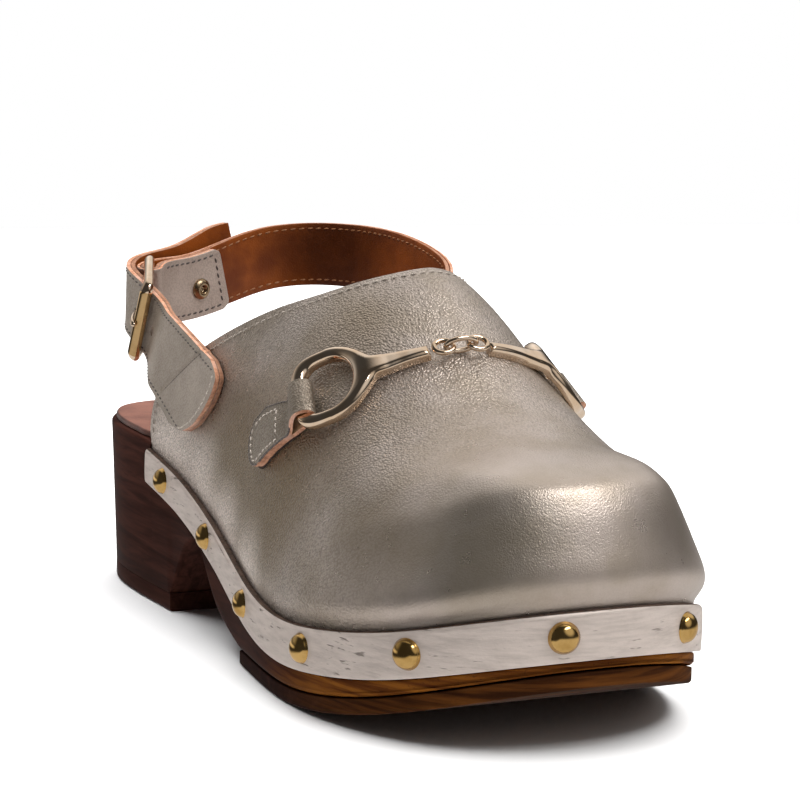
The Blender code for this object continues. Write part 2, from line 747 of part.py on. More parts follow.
def make_buckle():
    front, front_width, rear, rear_width = buckle_corners()
    reach = np.linalg.norm(rear - front)
    along = (rear - front) / reach
    loops = []
    for quarter, (a_side, b_side) in enumerate(((1, 1), (0, 1), (0, -1), (1, -1))):
        for degrees in np.linspace(quarter * 90, quarter * 90 + 90, 5):
            c, s = math.cos(math.radians(degrees)), math.sin(math.radians(degrees))
            share = a_side + (c - (1 if a_side else -1)) * FRAME_CORNER / reach
            width = front_width + (rear_width - front_width) * share
            width = width / np.linalg.norm(width)
            spot = front + along * reach * share
            spot = spot + width * (b_side * (FRAME_HALF - FRAME_CORNER) + s * FRAME_CORNER)
            radial = along * c + width * s
            outward = np.cross(along, width)
            loops.append([spot + (radial * math.cos(t) + outward * math.sin(t)) * ROD
                          for t in np.linspace(0, 2 * math.pi, 9)[:-1]])
    loft("buckle_frame", loops, "pale_gold", closed=True)


def prong(name, radius, start=ROD + GAP):
    """Rod from the rear bar through the tab, its tip lying on the front bar."""
    front, front_width, rear, rear_width = buckle_corners()
    width = (front_width + rear_width) / np.linalg.norm(front_width + rear_width)
    along = (front - rear) / np.linalg.norm(front - rear)
    outward = np.cross(along, width)
    reach = np.linalg.norm(front - rear)
    clear = ROD + GAP + PRONG
    stops = ((start, 0.0), (3.6, 0.3), (reach * 0.5, 0.6 * clear), (reach - 3.0, clear + 0.3),
             (reach, clear + 0.1), (reach + 2.4, clear - 0.6))
    spots = [rear + along * a + outward * o for a, o in stops]
    loops = []
    for k, spot in enumerate(spots):
        heading = spots[min(k + 1, len(spots) - 1)] - spots[max(k - 1, 0)]
        heading = heading / np.linalg.norm(heading)
        tall = np.cross(heading, width)
        loops.append([spot + (width * math.cos(t) + tall * math.sin(t)) * radius
                      for t in np.linspace(0, 2 * math.pi, 9)[:-1]])
    return loft(name, loops, "pale_gold")


def make_strap_rivet():
    centre, _, outward, width = loop_frame(RIVET_AT)
    seat = centre - outward * (1.5 * STRAP + 2 * GAP) - width * RIVET_DROP
    cap = profile_mesh("rivet_profile", (
        (0, 0.9), (1.2, 0.8), (2.2, 1.5), (0.9 * RIVET_RADIUS, 0.9), (RIVET_RADIUS, 0), (0, 0)))
    piece = turned("strap_rivet", cap, "brass", RIVET_SEGMENTS)
    piece.location = Vector(seat) * MM
    piece.rotation_euler = Vector(-outward).to_track_quat("Z", "Y").to_euler()


# Ornament

class BitLine:
    """The ornament's line over one side of the vamp, measured from the chain's middle."""

    def __init__(self, side):
        self.side = side
        rows = BIT_LINE[1:]
        route = spline([row.angle for row in BIT_LINE] + [180 - row.angle for row in rows],
                       [row.y for row in BIT_LINE] + [row.y for row in rows])
        self.angles = np.linspace(BIT_LINE[-1].angle, 180 - BIT_LINE[-1].angle, 155)
        self.ys = np.array([route(angle) for angle in self.angles])
        spots = np.array([vamp(y, angle) for y, angle in zip(self.ys, self.angles)])
        run = np.concatenate([[0], np.cumsum(np.linalg.norm(np.diff(spots, axis=0), axis=1))])
        self.run = run - np.interp(CHAIN_ANGLE, self.angles, run)

    def place(self, run):
        return (float(np.interp(run * self.side, self.run, self.ys)),
                float(np.interp(run * self.side, self.run, self.angles)))

    def frame(self, run):
        """Surface point, direction away from the chain, normal and fore-and-aft direction."""
        span = 0.6
        along = vamp(*self.place(run + span)) - vamp(*self.place(run - span))
        along = along / np.linalg.norm(along)
        normal = vamp_normal(*self.place(run))
        normal = normal - along * np.dot(normal, along)
        normal = normal / np.linalg.norm(normal)
        return vamp(*self.place(run)), along, normal, np.cross(normal, along)

    def ring_run(self):
        angle = RING_ANGLE if self.side < 0 else 180 - RING_ANGLE
        return self.side * float(np.interp(angle, self.angles, self.run))


def box_loop(spot, wide, tall, half_width, half_height):
    """Cross-section with softened corners."""
    soft = 0.55
    corners = ((1, soft), (soft, 1), (-soft, 1), (-1, soft), (-1, -soft), (-soft, -1), (soft, -1), (1, -soft))
    return [spot + wide * half_width * u + tall * half_height * v for u, v in corners]


def ring_centre(line):
    here, along, normal, across = line.frame(line.ring_run())
    return here + normal * (RING_LIFT + RING_HEIGHT / 2), along, normal, across


def make_bit(line, label):
    centre, along, normal, across = ring_centre(line)
    loops = []
    for k in range(28):
        turn = 2 * math.pi * k / 28
        c, s = math.cos(turn), math.sin(turn)
        square = 2 / (RING_SQUARE if c > 0 else 2.0)
        a, b = math.copysign(abs(c) ** square, c), math.copysign(abs(s) ** square, s)
        spot = centre + (along * RING_LENGTH + normal * RING_TILT) * a + across * RING_WIDTH * b
        radial = along * c / RING_LENGTH + across * s / RING_WIDTH
        radial = radial / np.linalg.norm(radial)
        loops.append(box_loop(spot, radial, normal, RING_BAND / 2, RING_HEIGHT / 2))
    ring = loft(f"bit_{label}", loops, "pale_gold", closed=True)

    start = line.ring_run() - RING_LENGTH
    bar = []
    for run in np.linspace(start + 0.4, BAR_END, 14):
        here, _, up, wide = line.frame(run)
        away = max(0.0, line.ring_run() - run - NECK_START) / NECK_FALL
        half = BAR_WIDTH / 2 + NECK_FLARE * math.exp(-away ** NECK_POWER)
        joined = max(0.0, 1 - (start - run) / BAR_TAPER)
        height = BAR_CLEAR + RING_HEIGHT / 2 + joined * (RING_LIFT - BAR_CLEAR + BAR_RISE)
        bar.append(box_loop(here + up * height, wide, up, half, RING_HEIGHT / 2 * 0.97))
    arm = loft(f"bit_arm_{label}", bar, "pale_gold")
    set_aside(arm)
    joint = ring.modifiers.new("arm", "BOOLEAN")
    joint.operation = "UNION"
    joint.object = arm


def make_links(lateral, medial):
    """Three chain links over the ridge: the middle one stands, the outer two lie."""
    pitch = BAR_END - GAP - LINK_HALF - LINK_WIRE
    for k, (line, run) in enumerate(((lateral, pitch), (lateral, 0.0), (medial, pitch))):
        here, along, up, across = line.frame(run)
        stands = run == 0.0
        long_half = pitch - LINK_HALF + 2 * LINK_WIRE + 3 * GAP if stands else LINK_HALF
        wide, tall = (up, across) if stands else (across, up)
        side_half = LINK_STAND if stands else LINK_SIDE
        middle = here + up * LINK_LIFT
        loops = []
        for i in range(20):
            turn = 2 * math.pi * i / 20
            spot = middle + along * long_half * math.cos(turn) + wide * side_half * math.sin(turn)
            radial = along * math.cos(turn) / long_half + wide * math.sin(turn) / side_half
            radial = radial / np.linalg.norm(radial)
            loops.append([spot + (radial * math.cos(t) + tall * math.sin(t)) * LINK_WIRE
                          for t in np.linspace(0, 2 * math.pi, 7)[:-1]])
        loft(f"bit_link_{k + 1}", loops, "pale_gold", closed=True)


def make_bit_tab(line, label):
    """Leather loop round the ring's outer band, both its ends sewn down together."""
    half, fold = BIT_TAB_WIDTH / 2, BIT_TAB_FOLD / 2
    shares = np.linspace(-1, 1, 5)
    centre, ring_along, ring_normal, ring_across = ring_centre(line)
    band = centre + ring_along * (RING_LENGTH - 0.4) + ring_normal * RING_TILT
    start = line.ring_run() + RING_LENGTH
    reach = RING_BAND / 2 + 6 * GAP + BIT_TAB / 2
    lift = RING_HEIGHT / 2 + 3 * GAP + BIT_TAB / 2
    layers = (GAP + BIT_TAB / 2, 2 * GAP + 1.5 * BIT_TAB)
    rows = []

    def laid(run, height):
        here, _, up, across = line.frame(run)
        spread = (run - start - BIT_TAB_SETTLE) / (BIT_TAB_LENGTH - BIT_TAB_SETTLE)
        nose = 1 - BIT_TAB_NOSE * max(0.0, 5 * spread - 4) ** 2
        wide = (fold + (half - fold) * min(1.0, 2 * spread)) * nose
        return [here + up * height + across * wide * b for b in shares]

    ends = np.linspace(start + BIT_TAB_LENGTH, start + BIT_TAB_SETTLE, 8)
    rows += [laid(run, layers[0]) for run in ends]
    for degrees in (-80, -50, -20, 10, 40, 70, 100):
        turn = math.radians(degrees)
        spot = band - ring_along * reach * math.cos(turn) + ring_normal * lift * math.sin(turn)
        rows.append([spot + ring_across * fold * b for b in shares])
    rows += [laid(run, layers[1]) for run in ends[::-1][1:]]
    return sheet(f"bit_tab_{label}", rows, BIT_TAB, "metallic_leather")


def stand_on_origin():
    """Shift the parent so that the middle of the shoe's footprint is at the origin."""
    bpy.context.view_layer.update()
    graph = bpy.context.evaluated_depsgraph_get()
    corners = []
    for piece in parts.objects:
        if piece.type == "MESH":
            ready = piece.evaluated_get(graph)
            corners += [ready.matrix_world @ Vector(c) for c in ready.bound_box]
    low = [min(c[k] for c in corners) for k in range(3)]
    high = [max(c[k] for c in corners) for k in range(3)]
    origin.location = Vector((-(low[0] + high[0]) / 2, -(low[1] + high[1]) / 2, -low[2]))


for old in list(bpy.data.objects):
    bpy.data.objects.remove(old, do_unlink=True)
parts = collection(NAME)
cutters = collection(NAME + "_cutters")
origin = bpy.data.objects.new("clog_origin", None)
parts.objects.link(origin)

make_wooden_sole()
make_treads()
make_insole()
make_upper()
make_rand()
make_studs()
make_sling_strap()
make_strap_tab()
make_buckle()
prong("buckle_prong", PRONG)
make_strap_rivet()
bit_lines = {"lateral": BitLine(-1), "medial": BitLine(1)}
for label, line in bit_lines.items():
    make_bit(line, label)
    make_bit_tab(line, label)
make_links(bit_lines["lateral"], bit_lines["medial"])
stand_on_origin()
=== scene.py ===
import math
import bpy
import bmesh
import numpy as np
from mathutils import Matrix, Vector, noise


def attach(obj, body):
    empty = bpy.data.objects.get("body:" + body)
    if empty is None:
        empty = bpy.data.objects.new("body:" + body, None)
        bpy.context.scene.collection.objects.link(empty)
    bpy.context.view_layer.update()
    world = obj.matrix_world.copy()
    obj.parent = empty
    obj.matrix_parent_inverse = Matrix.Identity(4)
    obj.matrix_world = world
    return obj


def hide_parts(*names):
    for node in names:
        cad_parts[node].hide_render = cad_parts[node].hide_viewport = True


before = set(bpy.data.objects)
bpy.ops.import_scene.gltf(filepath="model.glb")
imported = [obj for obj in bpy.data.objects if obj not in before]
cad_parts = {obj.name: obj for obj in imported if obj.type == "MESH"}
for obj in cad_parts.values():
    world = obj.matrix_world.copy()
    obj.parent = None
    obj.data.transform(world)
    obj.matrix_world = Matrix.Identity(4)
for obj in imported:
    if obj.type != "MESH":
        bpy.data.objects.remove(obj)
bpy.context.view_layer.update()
print("frame loaded,", len(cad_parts), "nodes")

lastShape = {  # millimetres, toe at -y, outer side at -x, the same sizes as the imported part
    "shift": (-1.144, 1.792, 0.0),  # from the shoe's own zero to the frame's
    "outline": ((118, -26.6, 22.0), (104, -34.4, 29.4), (81, -37.3, 30.8), (51, -37.3, 29.3),
                (18, -38.1, 31.0), (-13, -41.0, 37.6), (-43, -45.1, 45.3), (-71, -45.5, 48.7),
                (-99, -37.6, 43.0), (-117, -22.9, 30.2)),
    "heelBack": (-3.0, 125.4),
    "toeTip": (5.1, -125.5),
    "footbed": ((126, 49.4), (90, 48.2), (62, 46.9), (40, 43.0), (20, 37.6), (0, 32.0), (-20, 26.3),
                (-40, 22.6), (-60, 21.0), (-80, 21.8), (-100, 24.4), (-126, 31.0)),
    "randTop": ((70, 47.2), (60, 45.2), (40, 41.6), (20, 36.7), (0, 31.0), (-20, 25.5), (-40, 22.2),
                (-60, 21.3), (-80, 22.9), (-100, 26.2), (-127, 34.0)),
    "randHeights": (11.9, 10.2),  # at the toe and at the rear end
    "quarterEnd": 61.5,
    "gap": 0.3,
    "knotPower": 0.7,
}
gap = lastShape["gap"]
quarterEnd = lastShape["quarterEnd"]


def curveThrough(knots, values):  # smooth curve through a table, level past its ends
    order = np.argsort(knots)
    t = np.asarray(knots, float)[order]
    v = np.asarray(values, float)[order]
    flat = v.ndim == 1
    v = v.reshape(len(t), -1)
    h = np.diff(t)
    system = np.eye(len(t))
    bend = np.zeros_like(v)
    for i in range(1, len(t) - 1):
        system[i, i - 1:i + 2] = h[i - 1], 2 * (h[i - 1] + h[i]), h[i]
        bend[i] = 6 * ((v[i + 1] - v[i]) / h[i] - (v[i] - v[i - 1]) / h[i - 1])
    m = np.linalg.solve(system, bend)

    def at(x):
        x = np.clip(np.asarray(x, float), t[0], t[-1])
        k = np.clip(np.searchsorted(t, x) - 1, 0, len(h) - 1)
        a, b, s = (t[k + 1] - x)[..., None], (x - t[k])[..., None], h[k][..., None]
        out = (m[k] * a ** 3 + m[k + 1] * b ** 3) / (6 * s)
        out = out + (v[k] / s - m[k] * s / 6) * a + (v[k + 1] / s - m[k + 1] * s / 6) * b
        return out[..., 0] if flat else out
    return at


def column(rows, k):
    return curveThrough([row[0] for row in rows], [row[k] for row in rows])


def unit(v):
    return v / np.linalg.norm(v, axis=-1, keepdims=True)


def summed(steps):
    return np.concatenate([[0], np.cumsum(steps)])


def runLength(points):
    return summed(np.linalg.norm(np.diff(points, axis=0), axis=-1))


def tableAt(stops, knots, table):  # every column of a table, on straight lines between its rows
    return np.stack([np.interp(stops, knots, table[:, k]) for k in range(table.shape[1])], -1)


def outlineRing(perSpan=200):  # from the heel's back round the outer side, with outward directions
    rows = lastShape["outline"]
    corners = [lastShape["heelBack"]] + [(lateral, y) for y, lateral, _ in rows]
    corners += [lastShape["toeTip"]] + [(medial, y) for y, _, medial in reversed(rows)]
    wrap = 4
    ring = np.array(corners[-wrap:] + corners + corners[:wrap + 1], float)
    knots = summed(np.linalg.norm(np.diff(ring, axis=0), axis=1) ** lastShape["knotPower"])
    curve = curveThrough(knots, ring)
    stops = [np.linspace(knots[k], knots[k + 1], perSpan, endpoint=False)
             for k in range(wrap, wrap + len(corners))]
    points = curve(np.concatenate(stops))
    points = np.roll(points, -int(np.argmax(points[:, 1])), axis=0)
    along = unit(np.roll(points, -1, axis=0) - np.roll(points, 1, axis=0))
    return points, np.stack([along[:, 1], -along[:, 0]], -1)


ringPoints, ringOutward = outlineRing()
ringTable = np.hstack([ringPoints, ringOutward])
tipIndex = int(np.argmin(ringPoints[:, 1]))
sideTables = {-1: ringTable[:tipIndex + 1][::-1], 1: np.vstack([ringTable[tipIndex:], ringTable[:1]])}
footbed = column(lastShape["footbed"], 1)
randTop = column(lastShape["randTop"], 1)


def sideX(y, side):
    return np.interp(y, sideTables[side][:, 1], sideTables[side][:, 0])


def edgeAt(y, side):
    rows = sideTables[side]
    return np.stack([sideX(y, side), y], -1), unit(tableAt(y, rows[:, 1], rows[:, 2:]))


def randHeight(y):
    return np.interp(y, [lastShape["toeTip"][1], quarterEnd], lastShape["randHeights"])


def ledge(y):
    return randTop(y) - randHeight(y)


# Tools for meshes

def toFrame(points):
    return (np.asarray(points, float) + np.array(lastShape["shift"])) * 0.001


def nothingSelected():
    bpy.ops.object.select_all(action="DESELECT")


def only(piece):
    nothingSelected()
    piece.select_set(True)
    bpy.context.view_layer.objects.active = piece


def inEditMode(piece, *steps):
    only(piece)
    bpy.ops.object.mode_set(mode="EDIT")
    bpy.ops.mesh.select_all(action="SELECT")
    for step in steps:
        step()
    bpy.ops.object.mode_set(mode="OBJECT")


def applied(piece, kind, **settings):
    only(piece)
    change = piece.modifiers.new(kind.lower(), kind)
    for key, value in settings.items():
        setattr(change, key, value)
    bpy.ops.object.modifier_apply(modifier=change.name)


def weld():
    bpy.ops.mesh.remove_doubles(threshold=2e-6)


def capHoles():
    bpy.ops.mesh.select_all(action="SELECT")
    bpy.ops.mesh.fill_holes(sides=0)


def faceOut():
    bpy.ops.mesh.select_all(action="SELECT")
    bpy.ops.mesh.normals_make_consistent(inside=False)


def smoothed(piece, degrees=40):
    only(piece)
    bpy.ops.object.shade_smooth_by_angle(angle=math.radians(degrees))


def shapeGrid(name, points):  # a grid primitive, its corners moved to a table of points in millimetres
    points = np.asarray(points, float)
    rows, columns = points.shape[:2]
    nothingSelected()
    bpy.ops.mesh.primitive_grid_add(x_subdivisions=columns - 1, y_subdivisions=rows - 1, size=2)
    piece = bpy.context.object
    piece.name = name
    piece.data.name = name
    co = np.empty(len(piece.data.vertices) * 3)
    piece.data.vertices.foreach_get("co", co)
    co = co.reshape(-1, 3)
    i = np.rint((co[:, 0] + 1) / 2 * (columns - 1)).astype(int)
    j = np.rint((co[:, 1] + 1) / 2 * (rows - 1)).astype(int)
    piece.data.vertices.foreach_set("co", toFrame(points[j, i]).ravel())
    piece.data.update()
    return piece


def coated(piece, *finishes):
    for finish in finishes:
        piece.data.materials.append(finish)
    return piece


def secondFinish(piece, chosen):  # for the faces that a test picks
    for face in piece.data.polygons:
        if chosen(face):
            face.material_index = 1


def closedGrid(name, points, degrees=40):  # a tube, ring or loaf: welded where its edges meet, ends filled
    piece = shapeGrid(name, points)
    inEditMode(piece, weld, capHoles, faceOut)
    smoothed(piece, degrees)
    return piece


def wrapped(loops):  # repeats the first point of each loop, so that a grid closes on itself
    loops = np.asarray(loops, float)
    return np.concatenate([loops, loops[:, :1]], axis=1)


def gridNormals(points):
    along = np.gradient(points, axis=0)
    across = np.gradient(points, axis=1)
    return unit(np.cross(along, across) + 1e-12)


def resampled(rows, nAlong, nAcross):  # a finer table through a coarse one
    rows = np.asarray(rows, float)
    knots = summed(np.linalg.norm(np.diff(rows, axis=0), axis=2).mean(axis=1))
    fine = curveThrough(knots, rows.reshape(len(rows), -1))(np.linspace(0, knots[-1], nAlong))
    fine = fine.reshape(nAlong, -1, 3).transpose(1, 0, 2)
    shares = np.linspace(-1, 1, len(fine))
    wide = curveThrough(shares, fine.reshape(len(fine), -1))(np.linspace(-1, 1, nAcross))
    return wide.reshape(nAcross, nAlong, 3).transpose(1, 0, 2)


def leatherPly(name, points, thickness, finishes, front, soft=0.3):  # one layer: face, back and cut edge
    piece = shapeGrid(name, points)
    middle = gridNormals(points)[len(points) // 2, points.shape[1] // 2]
    meshNormal = piece.data.polygons[len(piece.data.polygons) // 2].normal
    if np.dot(np.array(meshNormal), middle) * front < 0:
        inEditMode(piece, bpy.ops.mesh.flip_normals)
    applied(coated(piece, *finishes), "SOLIDIFY", thickness=thickness * 0.001, offset=0.0, use_even_offset=False,
            material_offset=1, material_offset_rim=2)
    applied(piece, "BEVEL", width=soft * 0.001, segments=2, limit_method="ANGLE",
            angle_limit=math.radians(60), use_clamp_overlap=True)
    smoothed(piece, 50)
    return piece


def stitched(name, points, normals, thread, finish):  # a row of sewn threads, joined in one mesh
    run = runLength(points)
    pitch = thread["pitch"]
    spots = np.arange(pitch / 2, run[-1] - pitch / 3, pitch)
    place, ahead, behind = [tableAt(spots + shift, run, points) for shift in (0.0, 0.4, -0.4)]
    up = unit(tableAt(spots, run, normals))
    along = unit(ahead - behind)
    side = unit(np.cross(up, along))
    along = unit(along + side * thread["slant"])
    side = unit(np.cross(up, along))
    nothingSelected()
    bpy.ops.mesh.primitive_uv_sphere_add(segments=8, ring_count=6, radius=1)
    piece = bpy.context.object
    bead = np.array([v.co for v in piece.data.vertices])
    bead[:, 2] = np.sign(bead[:, 2]) * np.abs(bead[:, 2]) ** 0.8
    faces = [tuple(p.vertices) for p in piece.data.polygons]
    half, wide, high = thread["length"] / 2, thread["width"] / 2, thread["height"]
    dip = high * (1 - 1.5 * bead[:, 2] ** 2)  # the ends go down into the leather
    cloud = (place[:, None] + along[:, None] * (bead[:, 2] * half)[None, :, None]
             + side[:, None] * (bead[:, 0] * wide)[None, :, None]
             + up[:, None] * (bead[:, 1] * wide + dip - high * 0.75)[None, :, None])
    count = len(bead)
    mesh = bpy.data.meshes.new(name)
    mesh.from_pydata([tuple(p) for p in toFrame(cloud.reshape(-1, 3))], [],
                     [tuple(k * count + i for i in face) for k in range(len(spots)) for face in faces])
    piece.data = mesh
    piece.name = name
    inEditMode(coated(piece, finish), faceOut)
    smoothed(piece, 80)
    return piece


def joined(name, pieces):
    only(pieces[0])
    for piece in pieces:
        piece.select_set(True)
    bpy.ops.object.join()
    pieces[0].name = name
    pieces[0].data.name = name
    return pieces[0]


def finished(piece, slot, *nodes):  # rides on the shoe, and stands for its CAD nodes
    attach(piece, "root")
    if nodes:
        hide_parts(*nodes)
    return piece


# Finishes

def addNode(tree, kind, settings=None, inputs=None, out=0):
    made = tree.nodes.new(kind)
    for key, value in (settings or {}).items():
        setattr(made, key, value)
    for key, value in (inputs or {}).items():
        if isinstance(value, Wire):
            tree.links.new(value.socket, made.inputs[key])
        else:
            made.inputs[key].default_value = value
    return Wire(tree, made.outputs[out])


def smoothStep(tree, value, low, high):  # 0 below low, 1 above high
    return addNode(tree, "ShaderNodeMapRange", {"interpolation_type": "SMOOTHSTEP"},
                   {"Value": value, "From Min": low, "From Max": high})


class Wire:  # a socket that takes part in sums
    def __init__(self, tree, socket):
        self.tree = tree
        self.socket = socket

    def sum(self, operation, first, second):
        return addNode(self.tree, "ShaderNodeMath", {"operation": operation}, {0: first, 1: second})

    def __add__(self, other):
        return self.sum("ADD", self, other)

    def __radd__(self, other):
        return self.sum("ADD", other, self)

    def __sub__(self, other):
        return self.sum("SUBTRACT", self, other)

    def __rsub__(self, other):
        return self.sum("SUBTRACT", other, self)

    def __mul__(self, other):
        return self.sum("MULTIPLY", self, other)

    def __rmul__(self, other):
        return self.sum("MULTIPLY", other, self)


class Finish:  # one material on a piece's own place in the frame
    def __init__(self, name, **constants):
        self.material = bpy.data.materials.new(name)
        self.material.use_nodes = True
        self.tree = self.material.node_tree
        self.shader = self.tree.nodes["Principled BSDF"]
        self.place = self.node("ShaderNodeTexCoord", out=3)
        self.feed({key.replace("_", " "): value for key, value in constants.items()})

    def node(self, kind, settings=None, inputs=None, out=0):
        return addNode(self.tree, kind, settings, inputs, out)

    def feed(self, sockets):
        for key, value in sockets.items():
            if isinstance(value, Wire):
                self.tree.links.new(value.socket, self.shader.inputs[key])
            else:
                self.shader.inputs[key].default_value = value
        return self.material

    def axis(self, k):
        return self.node("ShaderNodeSeparateXYZ", None, {0: self.place}, k)

    def turned(self, angles=(0, 0, 0), scale=(1, 1, 1)):
        return self.node("ShaderNodeMapping", None, {"Vector": self.place, "Scale": scale,
                                                     "Rotation": [math.radians(a) for a in angles]})

    def noise(self, size, detail=2.0, rough=0.5, vector=None, bent=0.0):  # size in millimetres
        return self.node("ShaderNodeTexNoise", None, {
            "Vector": vector or self.place, "Scale": 1000 / size, "Detail": detail, "Roughness": rough,
            "Distortion": bent})

    def pebbles(self, size, vector=None):
        return self.node("ShaderNodeTexVoronoi", None, {"Vector": vector or self.place, "Scale": 1000 / size})

    def step(self, value, low, high):
        return smoothStep(self.tree, value, low, high)

    def forward(self, start, full):  # 0 behind the first place along the shoe, 1 in front of the second; millimetres
        return self.step(self.axis(1) * -1.0, 0.001 * start, 0.001 * full)

    def near(self, centre, radius):  # 1 at a place in the frame, 0 past the radius; millimetres
        spot = tuple(0.001 * c for c in centre)
        apart = self.node("ShaderNodeVectorMath", {"operation": "DISTANCE"}, {0: self.place, 1: spot}, 1)
        return 1.0 - self.step(apart, 0.0002 * radius, 0.001 * radius)

    def blend(self, share, first, second):
        a = first if isinstance(first, Wire) else (*first, 1)
        b = second if isinstance(second, Wire) else (*second, 1)
        return self.node("ShaderNodeMix", {"data_type": "RGBA"}, {0: share, 6: a, 7: b}, 2)

    def tones(self, value, low, high, first, second):  # the first where the value is low, the second where high
        return self.blend(self.step(value, low, high), first, second)

    def patched(self, colour, paintedLightPatches):
        for centre, radius, share, tone in paintedLightPatches:
            colour = self.blend(self.near(centre, radius) * share, colour, tone)
        return colour

    def bump(self, height, depth, normal=None):  # depth in millimetres
        inputs = {"Height": height, "Distance": depth * 0.001, "Strength": 1.0}
        if normal:
            inputs["Normal"] = normal
        return self.node("ShaderNodeBump", None, inputs)


def champagneLeather(name, look):
    f = Finish(name, Metallic=look["metal"], Specular_IOR_Level=0.5)
    cells = f.pebbles(look["grain"], f.turned(look["grainTurn"], look["grainStretch"]))
    fine = f.noise(look["grain"] * 0.6, 2.0, 0.6)
    blotch = f.noise(look["blotch"], 3.0, 0.6)
    toe = f.forward(*look["toe"])
    colour = f.tones(f.noise(look["broad"], 3.0, 0.55), 0.3, 0.7, look["dark"], look["light"])
    # painted light: spots of shade and of floor reflection mixed into the colour
    colour = f.patched(colour, look["paintedLightPatches"])
    between = f.step(cells, 0.35, 0.75) * (1.0 - toe * look["toeSmooth"])  # the fine lines of the grain
    colour = f.blend(between * look["inkShare"], colour, look["ink"])
    rough = look["rough"] + (blotch - 0.5) * look["roughSpread"] + between * look["inkRough"] - toe * look["toePolish"]
    height = (0.6 - cells) * (1.0 - toe * look["toeSmooth"]) * look["pebbles"] + fine * look["fine"]
    grain = f.bump(height, look["grainDepth"])
    swells = f.bump(f.noise(look["swell"], 2.0, 0.5), look["swellDepth"], grain)
    return f.feed({"Base Color": colour, "Roughness": rough, "Normal": swells})


def randLeather():
    look = {"light": (0.60, 0.52, 0.47), "dark": (0.46, 0.395, 0.355), "scratch": (0.10, 0.075, 0.06),
            "rough": 0.46, "depth": 0.22, "streaks": (0.25, 0.25, 1.6), "nicks": (0.3, 0.3, 2.2)}
    f = Finish("randLeather", Metallic=0.45)
    streak = f.noise(2.6, 4.0, 0.65, f.turned(scale=look["streaks"]))
    worn = f.noise(9, 3.0, 0.6)
    nick = f.step(f.noise(3.4, 3.0, 0.7, f.turned(scale=look["nicks"])), 0.60, 0.68)
    nick = nick * f.step(worn, 0.45, 0.56)
    colour = f.tones(streak, 0.35, 0.7, look["light"], look["dark"])
    colour = f.blend(f.step(worn, 0.35, 0.75) * 0.5, colour, look["light"])
    colour = f.blend(nick * 0.75, colour, look["scratch"])
    rough = look["rough"] + (streak - 0.5) * 0.2 + nick * 0.2
    rub = f.bump(streak * 0.7 + f.noise(0.8, 2.0, 0.5) * 0.3 - nick, look["depth"])
    return f.feed({"Base Color": colour, "Roughness": rough, "Normal": rub})


def frontStreaks(f, size, low, high, dark, light):  # grain that runs round the toe
    place = f.turned((3, -2, 0), (0.05, 0.05, 1.0))
    return f.tones(f.noise(size, 4.0, 0.6, place, 0.4), low, high, dark, light)


def stainedWood():
    look = {"dark": (0.020, 0.0065, 0.0045), "light": (0.046, 0.016, 0.011), "turn": (0, 0, 8),
            "amberDark": (0.050, 0.013, 0.003), "amberLight": (0.20, 0.070, 0.010), "rough": 0.45, "depth": 0.08}
    f = Finish("stainedWood", Coat_Roughness=0.3, Specular_IOR_Level=0.2, IOR=1.08)
    rings = f.noise(3.2, 4.0, 0.62, f.turned(look["turn"], (1.0, 0.07, 1.0)), 0.6)
    pores = f.noise(0.7, 2.0, 0.5, f.turned(look["turn"], (1.0, 0.05, 1.0)))
    body = f.tones(rings, 0.32, 0.68, look["dark"], look["light"])
    front = frontStreaks(f, 2.0, 0.34, 0.68, look["amberDark"], look["amberLight"])
    colour = f.blend(f.forward(35, 85), body, front)
    colour = f.blend(f.step(pores, 0.6, 0.72) * 0.5, colour, look["dark"])
    rough = look["rough"] + (rings - 0.5) * 0.2
    return f.feed({"Base Color": colour, "Roughness": rough, "Coat Weight": rings * 0.03,
                   "Normal": f.bump(rings * 0.7 + pores * 0.3, look["depth"])})


def brownLeather(name, dark, light, rough, grain, depth, paintedLightPatches=()):
    f = Finish(name, Specular_IOR_Level=0.22)
    specks = f.noise(0.9, 3.0, 0.6)
    colour = f.tones(f.noise(14, 4.0, 0.6), 0.3, 0.7, dark, light)
    colour = f.patched(f.blend(f.step(specks, 0.62, 0.75) * 0.4, colour, dark), paintedLightPatches)
    return f.feed({"Base Color": colour, "Roughness": rough + (specks - 0.5) * 0.15,
                   "Normal": f.bump((0.5 - f.pebbles(grain)) + specks * 0.4, depth)})


def rawEdge(name, dark, light, pink):
    f = Finish(name)
    fibre = f.noise(0.9, 4.0, 0.7)
    colour = f.tones(fibre, 0.35, 0.65, dark, light)
    colour = f.blend(f.step(f.noise(5, 2.0, 0.5), 0.45, 0.65) * 0.5, colour, pink)
    return f.feed({"Base Color": colour, "Roughness": 0.68 + fibre * 0.2, "Normal": f.bump(fibre, 0.2)})


def polishedMetal(name, light, dark, rough, spread):
    f = Finish(name, Metallic=1.0)
    wear = f.noise(6, 3.0, 0.6)
    hair = f.noise(0.5, 2.0, 0.5, f.turned((20, 10, 40), (1, 0.1, 1)))
    return f.feed({"Base Color": f.tones(wear, 0.35, 0.7, light, dark), "Roughness": rough + wear * spread,
                   "Normal": f.bump(hair + wear, 0.004)})


def threadFinish(name, dark, light):
    f = Finish(name)
    ply = f.noise(0.35, 2.0, 0.5)
    return f.feed({"Base Color": f.tones(ply, 0.35, 0.65, dark, light), "Roughness": 0.5 + ply * 0.3,
                   "Normal": f.bump(ply, 0.08)})


